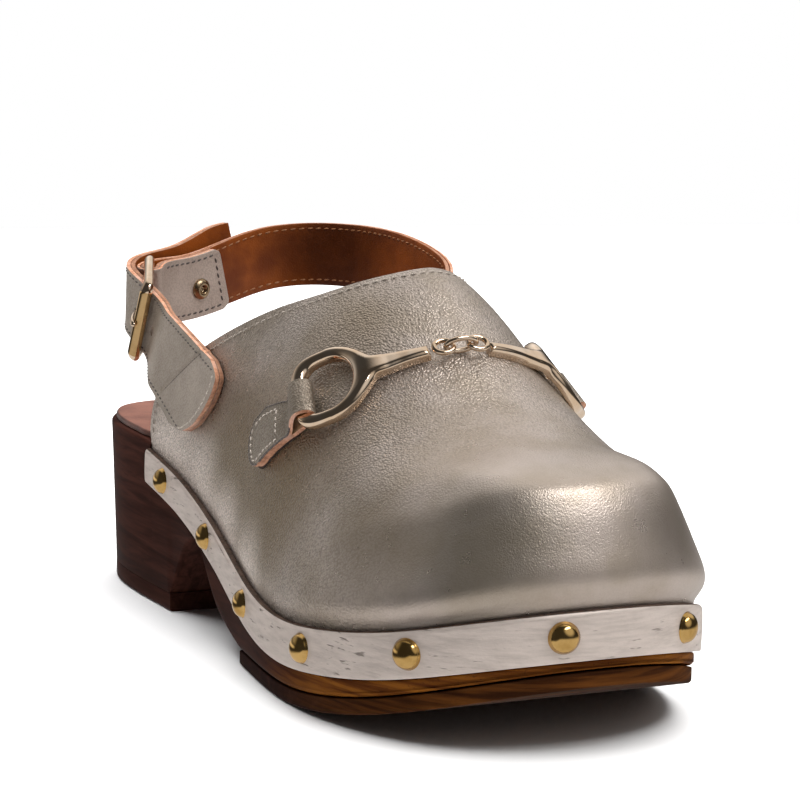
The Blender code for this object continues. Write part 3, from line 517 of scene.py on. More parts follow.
def rubberFinish():
    f = Finish("treadRubber", Specular_IOR_Level=0.2, IOR=1.08)
    dust = f.noise(4, 4.0, 0.65)
    body = f.tones(dust, 0.4, 0.75, (0.018, 0.008, 0.0065), (0.036, 0.016, 0.012))
    front = frontStreaks(f, 1.8, 0.36, 0.72, (0.022, 0.0075, 0.003), (0.09, 0.031, 0.007))
    return f.feed({"Base Color": f.blend(f.forward(45, 100), body, front), "Roughness": 0.5 + dust * 0.2,
                   "Normal": f.bump(f.noise(0.6, 2.0, 0.5), 0.05)})


# painted shade: the tan that darkens the upper's outer side
shadeTan = (0.25, 0.178, 0.10)
# painted reflection of the floor on the upper's lower edge
floorShine = (0.97, 0.85, 0.77)
leatherLook = {  # sizes and depths in millimetres
    "metal": 0.80, "dark": (0.43, 0.36, 0.295), "light": (0.53, 0.455, 0.405), "broad": 16, "blotch": 5,
    "grain": 0.56, "grainTurn": (0, 0, 25), "grainStretch": (1.0, 0.85, 1.0), "pebbles": 0.95, "fine": 0.4,
    "grainDepth": 0.24, "swell": 7, "swellDepth": 0.09,
    "ink": (0.16, 0.13, 0.10), "inkShare": 0.45, "inkRough": 0.06, "rough": 0.28, "roughSpread": 0.10,
    "toe": (58, 112), "toePolish": -0.01, "toeSmooth": 0.87,
    "paintedLightPatches": (  # middle, radius, share and tone: painted shade making the outer side tan and the toe dull, painted floor reflection making the lower edge bright
        ((-42, -36, 49), 36, 0.9, shadeTan), ((-41, -4, 53), 27, 0.85, shadeTan), ((-39, 24, 58), 18, 0.5, shadeTan),
        ((-22, -33, 88), 22, 0.5, (0.33, 0.25, 0.165)), ((-25, -112, 47), 24, 0.5, (0.27, 0.235, 0.18)),
        ((-41, -87, 46), 20, 0.6, (0.26, 0.21, 0.15)), ((24, -117, 50), 14, 0.5, (0.26, 0.22, 0.19)),
        ((-39, 46, 46), 26, 1.0, floorShine), ((-39, 23, 39), 23, 1.0, floorShine),
        ((-41, -2, 31), 20, 1.0, floorShine), ((-45, -27, 26), 18, 0.9, (0.90, 0.79, 0.71))),
}
strapLook = {**leatherLook, "metal": 0.6, "rough": 0.40, "toePolish": 0.0, "toeSmooth": 0.0, "grainDepth": 0.10,
             "inkShare": 0.2, "paintedLightPatches": ()}
upperFinish = champagneLeather("champagneLeather", leatherLook)
strapFaceFinish = champagneLeather("champagneStrap", {
    **strapLook, "dark": (0.47, 0.38, 0.325), "light": (0.60, 0.50, 0.435)})
tabFaceFinish = champagneLeather("champagneTab", {
    **strapLook, "dark": (0.31, 0.26, 0.21), "light": (0.42, 0.355, 0.30)})
loopFaceFinish = champagneLeather("champagneLoop", {
    **leatherLook, "dark": (0.27, 0.22, 0.17), "light": (0.38, 0.32, 0.26), "paintedLightPatches": ()})
randFinish = randLeather()
woodFinish = stainedWood()
treadFinish = rubberFinish()
# the saddle lining, with painted shade darkening the strap's inner end
liningFinish = brownLeather("saddleLining", (0.135, 0.028, 0.0025), (0.26, 0.062, 0.006), 0.48, 0.5, 0.04,
                            (((35, 96, 97), 32, 0.75, (0.04, 0.009, 0.002)),))
innerFinish = brownLeather("innerLining", (0.30, 0.17, 0.09), (0.42, 0.26, 0.15), 0.6, 0.6, 0.05)
insoleFinish = brownLeather("insoleLeather", (0.12, 0.046, 0.032), (0.21, 0.088, 0.060), 0.5, 0.6, 0.05)
insoleRimFinish = brownLeather("insoleRim", (0.045, 0.018, 0.014), (0.10, 0.042, 0.03), 0.4, 0.6, 0.04)
edgeFinish = rawEdge("rawLeatherEdge", (0.27, 0.11, 0.055), (0.50, 0.25, 0.15), (0.52, 0.33, 0.26))
brownEdgeFinish = rawEdge("brownEdge", (0.13, 0.055, 0.03), (0.30, 0.14, 0.075), (0.36, 0.19, 0.12))
# the rand's cut top edge, painted near black: painted shade of the gap under the upper
randTopShadeFinish = rawEdge("randTopShadedEdge", (0.03, 0.018, 0.012), (0.09, 0.05, 0.034), (0.12, 0.075, 0.055))
shadowFinish = rawEdge("shadowedEdge", (0.015, 0.010, 0.008), (0.05, 0.03, 0.02), (0.07, 0.045, 0.035))
goldFinish = polishedMetal("paleGold", (0.84, 0.68, 0.53), (0.78, 0.58, 0.40), 0.05, 0.06)
warmGoldFinish = polishedMetal("warmGold", (0.55, 0.37, 0.18), (0.42, 0.26, 0.11), 0.08, 0.08)
brassFinish = polishedMetal("studBrass", (0.66, 0.43, 0.16), (0.50, 0.30, 0.09), 0.09, 0.10)
agedFinish = polishedMetal("agedBrass", (0.42, 0.31, 0.19), (0.20, 0.14, 0.09), 0.18, 0.15)
paleThread = threadFinish("paleThread", (0.32, 0.27, 0.23), (0.54, 0.48, 0.42))
darkThread = threadFinish("darkThread", (0.05, 0.042, 0.036), (0.13, 0.11, 0.10))
dullThread = threadFinish("dullThread", (0.20, 0.17, 0.14), (0.38, 0.33, 0.28))
saddleThread = threadFinish("saddleThread", (0.20, 0.075, 0.025), (0.34, 0.15, 0.06))
print("finishes ready")

# Wooden sole, treads and insole
sole = {
    "arch": ((49, 5.3), (45.5, 10.0), (40, 16.5), (33, 22.5), (26, 25.0), (19, 22.0), (12, 15.5), (5, 10.4),
             (-3, 7.4), (-11, 5.4), (-18, 4.3)),
    "toeSpring": 15.0, "springStart": -50.0, "tread": 4.0, "treadBack": -18.0,
    "heelTip": 5.0, "heelBreast": 49.0, "heelTaper": 1.6, "taperSpan": (30, 46),
    "rebate": 2.8, "rebateLean": 0.2,
    "underRound": 1.4, "heelRound": 0.12, "brimRound": 0.6, "heelRimRound": 1.3,
    "treadInset": 0.4, "treadRound": 1.0, "treadTopRound": 0.35, "tipTopRound": 0.12, "tipSeam": 0.24,
    "insole": 1.5, "insoleDish": 1.0, "dishSpan": (90, 122), "insoleRound": 0.75, "insoleInset": ((64, 3.4), (71, 1.4)),
    "insoleRim": 0.88,  # the rim's faces lean more than that
}
archLine = column(sole["arch"], 1)
shoulder = quarterEnd + gap


def toeLift(y):
    reach = np.clip((sole["springStart"] - y) / (sole["springStart"] - lastShape["toeTip"][1]), 0, None)
    return sole["toeSpring"] * reach ** 2


def underside(y):
    front = sole["tread"] + gap + toeLift(y)
    middle = np.where(y > sole["treadBack"], archLine(y), front)
    return np.where(y >= sole["heelBreast"], sole["heelTip"] + gap, middle)


def heelTaper(y):
    return np.interp(y, sole["taperSpan"], [0, sole["heelTaper"]])


def stations(front, back, step=2.0, reach=23.0, count=14):  # close together at a round end
    ends = reach * (np.arange(1, count + 1) / count) ** 2
    low = lastShape["toeTip"][1] + ends if front is None else np.array([front])
    high = lastShape["heelBack"][1] - ends[::-1] if back is None else np.array([back])
    body = np.arange(low[-1] + step, high[0] - step / 2, step)
    return np.concatenate([low, body, high])


def always(value):
    return lambda y: 0 * y + value


def quarterRound(inset, height, radius, rising, count=5):  # levels of a rounded edge, from below
    made = []
    for turn in np.linspace(0, math.pi / 2, count):
        c, s = math.cos(turn), math.sin(turn)
        a, b = (1 - s, 1 - c) if rising else (1 - c, s - 1)
        made.append((lambda y, a=a: inset(y) + radius(y) * a, lambda y, b=b: height(y) + radius(y) * b))
    return made


def loaf(name, ys, levels, roundFront, roundBack, acrossCount=9, dish=None):
    sides = {}
    for side in (-1, 1):
        here, outward = edgeAt(ys, side)
        if roundFront:
            here = np.vstack([[lastShape["toeTip"]], here])
            outward = np.vstack([[(0.0, -1.0)], outward])
        if roundBack:
            here = np.vstack([here, [lastShape["heelBack"]]])
            outward = np.vstack([outward, [(0.0, 1.0)]])
        y = here[:, 1]
        sides[side] = np.stack([np.concatenate([here - outward * inset(y)[:, None], height(y)[:, None]], 1)
                                for inset, height in levels], 1)
    share = np.linspace(0, 1, acrossCount + 2)[1:-1][None, :, None]
    top = sides[-1][:, -1:] * (1 - share) + sides[1][:, -1:] * share
    if dish:
        top[..., 2] -= dish(top[..., 1]) * (1 - (2 * share[..., 0] - 1) ** 2) ** 1.2
    bottom = sides[1][:, :1] * (1 - share) + sides[-1][:, :1] * share
    section = np.concatenate([sides[-1], top, sides[1][:, ::-1], bottom], axis=1)
    return closedGrid(name, wrapped(section), 35)


def makeWoodenSole():
    ys = stations(None, None, 1.6)
    ys = np.sort(np.concatenate([ys[np.abs(ys - shoulder) > 0.5], [shoulder - 0.02, shoulder + 0.02]]))

    def behind(y):
        return y > shoulder

    def brim(y):
        return np.where(behind(y), footbed(y), ledge(y))

    def brimRound(y):
        return np.where(behind(y), sole["heelRimRound"], sole["brimRound"])

    def underRound(y):
        return np.where(y >= sole["heelBreast"], sole["heelRound"], sole["underRound"])

    levels = quarterRound(heelTaper, underside, underRound, True)
    for share in (0.25, 0.5, 0.75):
        levels.append((lambda y, s=share: heelTaper(y) * (1 - s),
                       lambda y, s=share: underside(y) * (1 - s) + brim(y) * s))
    levels += quarterRound(always(0.0), brim, brimRound, False, 6)
    levels += [(always(sole["rebate"]), brim), (always(sole["rebate"] + sole["rebateLean"]), footbed)]
    piece = coated(loaf("woodenSole", ys, levels, True, True), woodFinish)
    finished(piece, "wood", "wooden_sole")


def makeTreads():
    def treadTop(y):
        return toeLift(y) + sole["tread"]

    foot, inset, taper = [always(sole[k]) for k in ("treadRound", "treadInset", "heelTaper")]
    levels = quarterRound(inset, toeLift, foot, True)
    levels += quarterRound(inset, treadTop, always(sole["treadTopRound"]), False)
    front = loaf("forefootTread", stations(None, sole["treadBack"]), levels, True, False)
    finished(coated(front, treadFinish), "tread_rubber", "forefoot_tread")
    levels = quarterRound(taper, always(0.0), foot, True)
    levels += quarterRound(taper, always(sole["heelTip"] + sole["tipSeam"]), always(sole["tipTopRound"]), False)
    rear = loaf("heelTip", stations(sole["heelBreast"], None), levels, False, True)
    finished(coated(rear, woodFinish), "tread_rubber", "heel_tip")


def makeInsole():
    def inset(y):
        return np.interp(y, *zip(*sole["insoleInset"]))

    def dish(y):
        return sole["insoleDish"] * np.interp(np.abs(y), sole["dishSpan"], [1, 0])

    levels = [(inset, lambda y: footbed(y) + gap)]
    levels += quarterRound(inset, lambda y: footbed(y) + gap + sole["insole"], always(sole["insoleRound"]), False)
    piece = coated(loaf("insole", stations(None, None), levels, True, True, 15, dish), insoleFinish, insoleRimFinish)
    secondFinish(piece, lambda face: face.normal.z < sole["insoleRim"])
    finished(piece, "insole_leather", "insole")


makeWoodenSole()
makeTreads()
makeInsole()
print("sole ready")

# Upper
upper = {
    "sections": (  # y, ridge x, ridge z, roundness of side and crown, swell
        (60, 0.0, 112.0, 3.5, 2.2, 0.6), (26, 3.0, 110.0, 3.3, 2.2, 1.0), (8, 4.0, 108.0, 2.7, 2.2, 1.2),
        (-4, 4.0, 106.0, 2.25, 2.2, 1.3), (-16, 4.2, 105.0, 1.95, 2.2, 1.5), (-31, 4.5, 103.0, 1.75, 2.2, 1.6),
        (-55, 4.2, 86.0, 1.75, 2.2, 1.9), (-80, 3.8, 69.0, 2.25, 2.4, 2.5), (-98, 4.2, 65.2, 3.2, 2.2, 2.9),
        (-112, 4.7, 63.4, 4.6, 2.8, 3.0), (-127, 5.2, 60.0, 6.5, 5.5, 3.0)),
    "collar": ((0, 61.5), (9, 60.5), (15, 56.0), (22, 44.0), (32, 26.5), (43, 8.5), (53, -5.0), (60.5, -16.0),
               (68, -24.5), (78, -30.0), (90, -31.4)),  # angle up the section, y where it is cut off
    "toeCentre": -90.0, "swellHeight": 7.0, "wall": 1.8, "inset": 0.5, "rimRound": 0.7,
    "toeLean": 0.06, "leanFrom": -80.0, "leanOver": 25.0, "crownFrom": 60, "crownOver": 30, "crownSide": 2.4,
    "columns": 96, "fanRows": 40, "sideRows": 104, "crowdFoot": (2.5, 9), "crowdRidge": (7, 2.2),
    "uneven": 0.22, "unevenScale": 45, "footEase": 4,
    "creases": (  # (y, angle) along each trough, depth and half width in millimetres
        (((-58, 24), (-76, 30), (-92, 40)), 0.30, 6.0),
        (((-36, 20), (-52, 27), (-66, 38)), 0.22, 5.0),
        (((-20, 150), (-40, 142), (-58, 135)), 0.25, 5.0),
        (((-66, 70), (-70, 90), (-68, 112)), 0.25, 7.0),
    ),
    "shoulder": ((-44.4, -65.6, 38.7), (-34.2, -92.1, 49.2), (-25.8, -105.8, 54.3), (-9.2, -116.8, 59.1),
                 (2.6, -118.3, 60.0), (15.8, -116.3, 60.0), (28.5, -109.5, 57.5), (38.0, -97.0, 50.0)),
    "shoulderHeight": 0.55, "shoulderWidth": 3.4,  # ridge round the top of the toe
    "stitchInset": 2.4,
}
ridgeX, ridgeZ, sidePower, crownPower, swell = [column(upper["sections"], k) for k in range(1, 6)]
mirrorCollar = upper["collar"] + tuple((180 - angle, y) for angle, y in upper["collar"][:-1])
collarY = column(mirrorCollar, 1)


def sectionPoint(base, centre, angle):
    turn = np.radians(angle)
    y = base[..., 1]
    arm = base - centre
    reach = np.linalg.norm(arm, axis=-1)
    outward = arm / reach[..., None]
    ease = np.clip((angle - upper["crownFrom"]) / upper["crownOver"], 0, 1)
    side = sidePower(y)
    side = side + np.minimum(upper["crownSide"] - side, 0) * ease * ease * (3 - 2 * ease)
    out = np.clip(np.cos(turn), 0, 1) ** (2 / side)
    up = np.clip(np.sin(turn), 0, 1) ** (2 / crownPower(y))
    plan = centre + outward * ((reach - upper["inset"]) * out)[..., None]
    rise = (ridgeZ(plan[..., 1]) - randTop(y)) * up
    lobe = rise / upper["swellHeight"]
    bulge = swell(y) * (lobe * np.exp(1 - lobe)) ** 2 * np.minimum(1.0, 2 * out)
    lean = upper["toeLean"] * np.clip((upper["leanFrom"] - y) / upper["leanOver"], 0, 1)
    plan = plan + outward * (bulge - lean * rise * out ** 3)[..., None]
    return np.concatenate([plan, (randTop(y) + rise)[..., None]], -1)


def fanBase(share, side):  # outline points of the toe's fan, share 0 at the tip and 1 straight out
    centre = np.array([ridgeX(upper["toeCentre"]), upper["toeCentre"]])
    rim = sideTables[side][:, :2] - centre
    bearing = np.arctan2(rim[:, 0], -rim[:, 1])
    tip = math.atan2(lastShape["toeTip"][0] - centre[0], centre[1] - lastShape["toeTip"][1])
    wanted = tip + (side * math.pi / 2 - tip) * share
    order = np.argsort(bearing)
    return tableAt(wanted, bearing[order], sideTables[side][order, :2]), centre


def vamp(y, angle):  # points of the upper; angles past 90 lie on the inner side
    y, angle = np.broadcast_arrays(np.asarray(y, float), np.asarray(angle, float))
    outer = angle <= 90
    base = np.stack([np.where(outer, sideX(y, -1), sideX(y, 1)), y], -1)
    centre = np.stack([ridgeX(y), y], -1)
    return sectionPoint(base, centre, np.where(outer, angle, 180 - angle))


def vampNormal(y, angle):
    across = vamp(y, np.asarray(angle) + 0.5) - vamp(y, np.asarray(angle) - 0.5)
    along = vamp(np.asarray(y) + 0.5, angle) - vamp(np.asarray(y) - 0.5, angle)
    return unit(np.cross(across, along))


def wallX(y, z, side):  # the upper's side at a height, carried on smoothly past its edges
    low, high = randTop(y), ridgeZ(y)
    up = np.clip((z - low) / (high - low), 0.0, 0.98)
    out = (1 - up ** crownPower(y)) ** (1 / sidePower(y))
    lobe = np.maximum(z - low, 0.0) / upper["swellHeight"]
    bulge = swell(y) * (lobe * np.exp(1 - lobe)) ** 2
    return ridgeX(y) + (sideX(y, side) - side * upper["inset"] - ridgeX(y)) * out + side * bulge


def halfAngles():  # closer together by the rand and on the ridge
    fine = np.linspace(0, 90, 2000)
    (foot, footFall), (ridge, ridgeFall) = upper["crowdFoot"], upper["crowdRidge"]
    density = 1 + foot * np.exp(-fine / footFall) + ridge * np.exp(-(90 - fine) / ridgeFall)
    total = summed((density[1:] + density[:-1]) / 2)
    return np.interp(np.linspace(0, total[-1], upper["columns"]), total, fine)


def upperTable():
    angles = halfAngles()
    rows = []
    for j in range(upper["fanRows"] + upper["sideRows"] + 1):
        row = []
        for side in (-1, 1):
            if j < upper["fanRows"]:
                spot, centre = fanBase(j / upper["fanRows"], side if j else -1)
                base = np.repeat(spot[None], len(angles), 0)
                centre = np.repeat(centre[None], len(angles), 0)
            else:
                share = (j - upper["fanRows"]) / upper["sideRows"]
                y = upper["toeCentre"] + (collarY(angles) - upper["toeCentre"]) * share
                base = np.stack([sideX(y, side), y], -1)
                centre = np.stack([ridgeX(y), y], -1)
            half = sectionPoint(base, centre, angles)
            foot = half[:1].copy()
            foot[0, 2] = ledge(foot[0, 1]) + gap
            half = np.vstack([foot, half])
            row.append(half if side < 0 else half[-2::-1])
        rows.append(np.vstack(row))
    return np.array(rows)


def through(spots, count):
    return curveThrough(np.linspace(0, 1, len(spots)), spots)(np.linspace(0, 1, count))


def creased(piece):  # soft troughs, the toe's ridge and a slow unevenness, along the normals
    count = len(piece.data.vertices)
    co, normal = np.empty(count * 3), np.empty(count * 3)
    piece.data.vertices.foreach_get("co", co)
    piece.data.vertex_normals.foreach_get("vector", normal)
    co, normal = co.reshape(-1, 3), normal.reshape(-1, 3)
    depth = np.zeros(count)
    lines = [(vamp(*through(spots, 60).T), deep, wide) for spots, deep, wide in upper["creases"]]
    lines.append((through(upper["shoulder"], 160), -upper["shoulderHeight"], upper["shoulderWidth"]))
    for path, deep, wide in lines:
        line = toFrame(path) * 1000
        apart = np.full(count, 1e9)
        ends = np.zeros(count)
        for k, spot in enumerate(line):
            d = np.linalg.norm(co * 1000 - spot, axis=1)
            nearer = d < apart
            apart[nearer] = d[nearer]
            ends[nearer] = math.sin(math.pi * (k + 0.5) / len(line)) ** 0.7
        depth += deep * ends * np.exp(-(apart / wide) ** 2)
    slow = np.array([noise.noise(Vector(p) * upper["unevenScale"]) for p in co])
    above = np.clip((co[:, 2] * 1000 - randTop(co[:, 1] * 1000)) / upper["footEase"], 0, 1)
    co += normal * ((slow * upper["uneven"] - depth) * above * 0.001)[:, None]
    piece.data.vertices.foreach_set("co", co.ravel())
    piece.data.update()


def makeUpper():
    piece = shapeGrid("clogUpper", upperTable())
    inEditMode(piece, weld)
    face = piece.data.polygons[len(piece.data.polygons) // 2]
    if (Vector(face.center) - Vector(toFrame((4, face.center.y * 1000, 30)))).dot(face.normal) < 0:
        inEditMode(piece, bpy.ops.mesh.flip_normals)
    creased(piece)
    applied(coated(piece, upperFinish, innerFinish), "SOLIDIFY", thickness=upper["wall"] * 0.001, offset=-1.0,
            use_even_offset=False, material_offset=1, material_offset_rim=0)
    applied(piece, "BEVEL", width=upper["rimRound"] * 0.001, segments=3, limit_method="ANGLE",
            angle_limit=math.radians(60))
    smoothed(piece, 60)
    finished(piece, "upper_leather", "upper")


def collarSeam(inset):  # a line on the upper at a distance from the collar's edge
    angles = np.linspace(3, 177, 500)
    rim = vamp(collarY(angles), angles)
    ys = []
    for angle, edge in zip(angles, collarY(angles)):
        tries = edge - np.linspace(0, 16, 81)
        spots = vamp(tries, np.full(len(tries), angle))
        apart = np.linalg.norm(spots[:, None] - rim[None], axis=2).min(axis=1)
        ys.append(np.interp(inset, np.maximum.accumulate(apart), tries))
    return vamp(np.array(ys), angles), vampNormal(np.array(ys), angles)


makeUpper()
seamThread = {"pitch": 2.5, "length": 2.3, "width": 0.55, "height": 0.30, "slant": 0.12}
seamPoints, seamNormals = collarSeam(upper["stitchInset"])
finished(stitched("collarStitches", seamPoints, seamNormals, seamThread, dullThread), "upper_leather")
print("upper ready")

# Rand and studs
rand = {
    "proud": 1.6, "back": 0.2, "stations": 420, "round": 0.45, "topRound": 1.15, "belly": 0.15, "topGap": 0.2,
    "topFaces": 0.75,  # faces that look up more than that show the cut edge, painted near black as the shade in the gap under the upper
    "studStops": (99, 136.5, 175, 217.5, 253, 288, 323, 358, 393.5, 429, 464.5, 500),
    "studRadius": 3.65, "studHeight": 2.3, "studShare": 0.48, "studSeat": 0.05, "studFit": 0.97, "studOver": 0.25,
    "studFoot": (0.06, 0.12), "wave": 0.22, "waveSteps": (0.09, 1.6),
}
rimLength = runLength(ringPoints)
rimInside = ringPoints[:, 1] <= quarterEnd
rimStops = rimLength[rimInside]


def rimFrame(stops):
    rows = tableAt(stops, rimStops, ringTable[rimInside])
    return rows[:, :2], unit(rows[:, 2:])


def makeRand():
    here, outward = rimFrame(np.linspace(rimStops[0], rimStops[-1], rand["stations"]))
    y = here[:, 1]
    low, high = ledge(y) + gap, randTop(y) - rand["topGap"]
    proud, back, r, top = [rand[k] for k in ("proud", "back", "round", "topRound")]
    quarter = np.linspace(0, math.pi / 2, 4), np.linspace(math.pi / 2, 0, 6)
    profile = [(-back, 0.0, 0.0)]  # out, share of the height, lift
    profile += [(proud - r + r * math.sin(t), 0.0, r * (1 - math.cos(t))) for t in quarter[0]]
    profile += [(proud + rand["belly"] * math.sin(math.pi * s), s, 0.0) for s in np.linspace(0.1, 0.9, 9)]
    profile += [(proud - top + top * math.sin(t), 1.0, -top * (1 - math.cos(t))) for t in quarter[1]]
    outs, shares, lifts = np.array(profile + [(-back, 1.0, 0.0)]).T
    z = low[:, None] + (high - low)[:, None] * shares[None] + lifts[None]
    alongStep, upStep = rand["waveSteps"]
    wave = np.array([[noise.noise(Vector((k * alongStep, s * upStep, 4.0))) for s in shares] for k in range(len(y))])
    shown = (outs > 0.2) * np.minimum(1, 8 * shares * (1 - shares) + 0.25)
    reach = outs[None] + wave * rand["wave"] * shown[None]
    points = np.concatenate([here[:, None] + outward[:, None] * reach[..., None], z[..., None]], -1)
    piece = coated(closedGrid("studdedRand", wrapped(points), 45), randFinish, randTopShadeFinish)
    secondFinish(piece, lambda face: face.normal.z > rand["topFaces"])
    finished(piece, "rand_leather", "rand")


def makeStuds():
    nothingSelected()
    bpy.ops.mesh.primitive_uv_sphere_add(segments=40, ring_count=24, radius=1)
    dome = bpy.context.object
    inEditMode(dome, lambda: bpy.ops.mesh.bisect(plane_co=(0, 0, 0), plane_no=(0, 0, 1), clear_inner=True))
    inEditMode(dome, lambda: bpy.ops.mesh.bisect(plane_co=(0, 0, 0.001), plane_no=(0, 0, 1)), capHoles, faceOut)
    cap = np.array([v.co for v in dome.data.vertices])
    for k, stop in enumerate(rand["studStops"]):
        here, outward = rimFrame(np.array([stop]))
        seat = np.array([*(here[0] + outward[0] * (rand["proud"] + rand["studSeat"])),
                         randTop(here[0, 1]) - rand["studShare"] * randHeight(here[0, 1])])
        out = np.array([*outward[0], 0.0])
        up = np.array([0.0, 0.0, 1.0])
        side = np.cross(up, out)
        flare, footTop = rand["studFoot"]
        foot = 1 + flare * (cap[:, 2:] < footTop)  # a small turned-out foot
        points = seat + (side * cap[:, :1] + up * cap[:, 1:2]) * rand["studRadius"] * rand["studFit"] * foot
        points = points + out * (cap[:, 2:] * (rand["studHeight"] + rand["studOver"]))
        stud = dome.copy()
        stud.data = dome.data.copy()
        bpy.context.collection.objects.link(stud)
        stud.name = f"studDome_{k + 1:02d}"
        stud.data.vertices.foreach_set("co", toFrame(points).ravel())
        stud.data.update()
        inEditMode(coated(stud, brassFinish), faceOut)
        smoothed(stud, 50)
        finished(stud, "stud_brass", f"stud_{k + 1:02d}")
    bpy.data.objects.remove(dome, do_unlink=True)


makeRand()
makeStuds()
print("rand and studs ready")

# Heel strap, tab and buckle
strap = {
    "loop": ((-32.6, 74.2, 79.8, 4), (-27.8, 90.0, 86.6, 4), (-14.5, 98.8, 88.2, 4), (1.5, 104.0, 92.0, 3),
             (16.5, 105.8, 96.2, 1), (28.5, 102.0, 97.6, 0), (36.5, 91.0, 97.8, 0), (40.6, 74.0, 97.2, -2),
             (41.8, 52.0, 94.6, -5), (40.0, 30.0, 89.8, -2), (32.4, 8.0, 84.2, 12), (30.2, -10.0, 79.2, 20)),
    "width": 19.2, "thick": 2.3, "rearBar": 17.0, "barSink": 0.4, "flap": 31.5, "settle": 14.0,
    "sewnFrom": 16.0, "corner": 2.6, "face": 0.95, "lining": 1.2, "plyGap": 0.15, "outerAt": 60.0, "slotStart": 0.9,
    "seamInset": 1.7, "flapRows": np.s_[2:24], "faceRows": np.s_[40:], "liningRows": np.s_[54:],
    "thread": {"pitch": 2.7, "length": 2.3, "width": 0.5, "height": 0.22, "slant": 0.1},
    "flapThread": {"pitch": 2.4, "length": 2.0, "width": 0.6, "height": 0.2, "slant": 0.15},
}
tab = {
    "hole": (-33.2, 71.0, 78.0), "holeRadius": 1.6, "punch": 8.0,
    "thick": 2.6, "root": (23.6, 63.8), "rise": 18.0, "width": 26.0, "widthFree": 21.5, "widthBuckle": 19.4,
    "nose": ((-1, 13.0), (-0.9, 5.8), (-0.75, 1.2), (-0.5, -3.0), (-0.25, -5.8), (0, -8.0), (0.25, -9.6),
             (0.5, -10.6), (0.75, -10.4), (0.9, -8.2), (1, -3.0)),  # share of the width, front end
    "leaves": 33.0, "tail": 41.0, "tailRise": 5.2, "tailBow": 0.85, "tailNarrow": 0.15, "narrowOver": 10,
    "tailOffsets": ((-17.0, -0.2), (-8.0, 3.0), (0.0, 5.4), (14.0, 3.5), (27.0, 3.6), (41.0, 4.4)),
    "crease": ((23.0, -8.0), (4.5, 11.5)), "creaseDepth": 0.5, "creaseWidth": 0.7,
    "ply": 1.2, "plyOut": 0.68, "threadOut": 1.28, "foldOut": 1.22, "seamShare": 0.68, "seamRow": 3, "seamEnds": 8,
    "thread": {"pitch": 2.2, "length": 1.9, "width": 0.5, "height": 0.22, "slant": 0.14},
    "creaseShadeLine": {"pitch": 1.4, "length": 1.7, "width": 0.45, "height": 0.06, "slant": 0.0},
}
buckle = {
    "rod": 1.3, "half": 11.7, "corner": 1.8, "rail": 0.4, "prong": 0.9,
    "frontOut": 3.0, "frontWide": 1.75, "frontTall": 2.4, "warmBand": 2.6, "warmEnds": 1.0,
    "rivetAt": 21.5, "rivetDrop": 1.0, "rivetRadius": 3.2,
}
loopSpots = np.array([row[:3] for row in strap["loop"]])
loopRun = runLength(loopSpots) - strap["rearBar"]
loopCentre = curveThrough(loopRun, loopSpots)
loopLean = curveThrough(loopRun, [row[3] for row in strap["loop"]])


def loopFrame(run):
    run = np.asarray(run, float)
    along = unit(loopCentre(run + 0.5) - loopCentre(run - 0.5))
    outward = unit(np.stack([-along[..., 1], along[..., 0], 0 * along[..., 0]], -1))
    tilt = np.radians(loopLean(run))[..., None]
    width = np.array([0.0, 0.0, 1.0]) * np.cos(tilt) - outward * np.sin(tilt)
    width = unit(width - along * np.sum(width * along, -1, keepdims=True))
    return loopCentre(run), along, np.cross(width, along), width


def strapRow(run, out, across):  # across is in millimetres, run may differ from point to point
    run = np.broadcast_to(np.asarray(run, float), across.shape)
    centre, _, outward, width = loopFrame(run)
    return centre + outward * out + width * across[:, None]


def cornerNose(across, half, radius):
    over = np.clip(np.abs(across) - (half - radius), 0, radius)
    return radius - np.sqrt(radius ** 2 - over ** 2)


def strapTable():
    half, thick = strap["width"] / 2, strap["thick"]
    across = np.linspace(-half, half, 17)
    turn = buckle["rod"] + gap + thick / 2
    settle, flap, sink = strap["settle"], strap["flap"], strap["barSink"]
    inner = curveThrough([0, settle, flap], [-sink - turn, -thick - gap, -thick - gap])
    outer = curveThrough([0, settle, flap], [turn - sink, 0.0, 0.0])
    freeEnd = flap - cornerNose(across, half, strap["corner"])
    rows = []
    for share in np.linspace(0, 1, 26)[:-1]:
        run = freeEnd * (1 - share)
        rows.append(np.array([strapRow(r, inner(r), np.array([a]))[0] for r, a in zip(run, across)]))
    centre, along, outward, width = loopFrame(0.0)
    for degrees in np.linspace(0, 180, 15):
        bent = math.radians(degrees)
        spot = centre - outward * sink - (along * math.sin(bent) + outward * math.cos(bent)) * turn
        rows.append(spot + width * across[:, None])
    rows += [strapRow(run, outer(run), across) for run in np.linspace(0, flap, 20)[1:]]
    for run in np.linspace(flap, loopRun[-1], 90)[1:]:
        row = strapRow(run, 0.0, across)
        seat = wallX(row[:, 1], row[:, 2], 1) + gap + thick / 2
        row[:, 0] = np.where(row[:, 1] < strap["sewnFrom"], np.maximum(row[:, 0], seat), row[:, 0])
        rows.append(row)
    return np.array(rows)


def layered(points, out):  # the same table moved along its normals
    return points + gridNormals(points) * out


def shareLine(points, share):  # the line at a share of the width, -1 to 1, with the surface's normals
    at = (share + 1) / 2 * (points.shape[1] - 1)
    k = min(int(at), points.shape[1] - 2)
    f = at - k
    normals = gridNormals(points)
    return points[:, k] * (1 - f) + points[:, k + 1] * f, unit(normals[:, k] * (1 - f) + normals[:, k + 1] * f)


def tubePoints(spots, wide, tall, count=16):  # round sections along a path
    turn = np.linspace(0, 2 * math.pi, count + 1)[None, :, None]
    return spots[:, None] + wide[:, None] * np.cos(turn) + tall[:, None] * np.sin(turn)


def cut(pieces, cutter):
    for piece in pieces:
        applied(piece, "BOOLEAN", operation="DIFFERENCE", object=cutter, solver="EXACT")
    bpy.data.objects.remove(cutter, do_unlink=True)


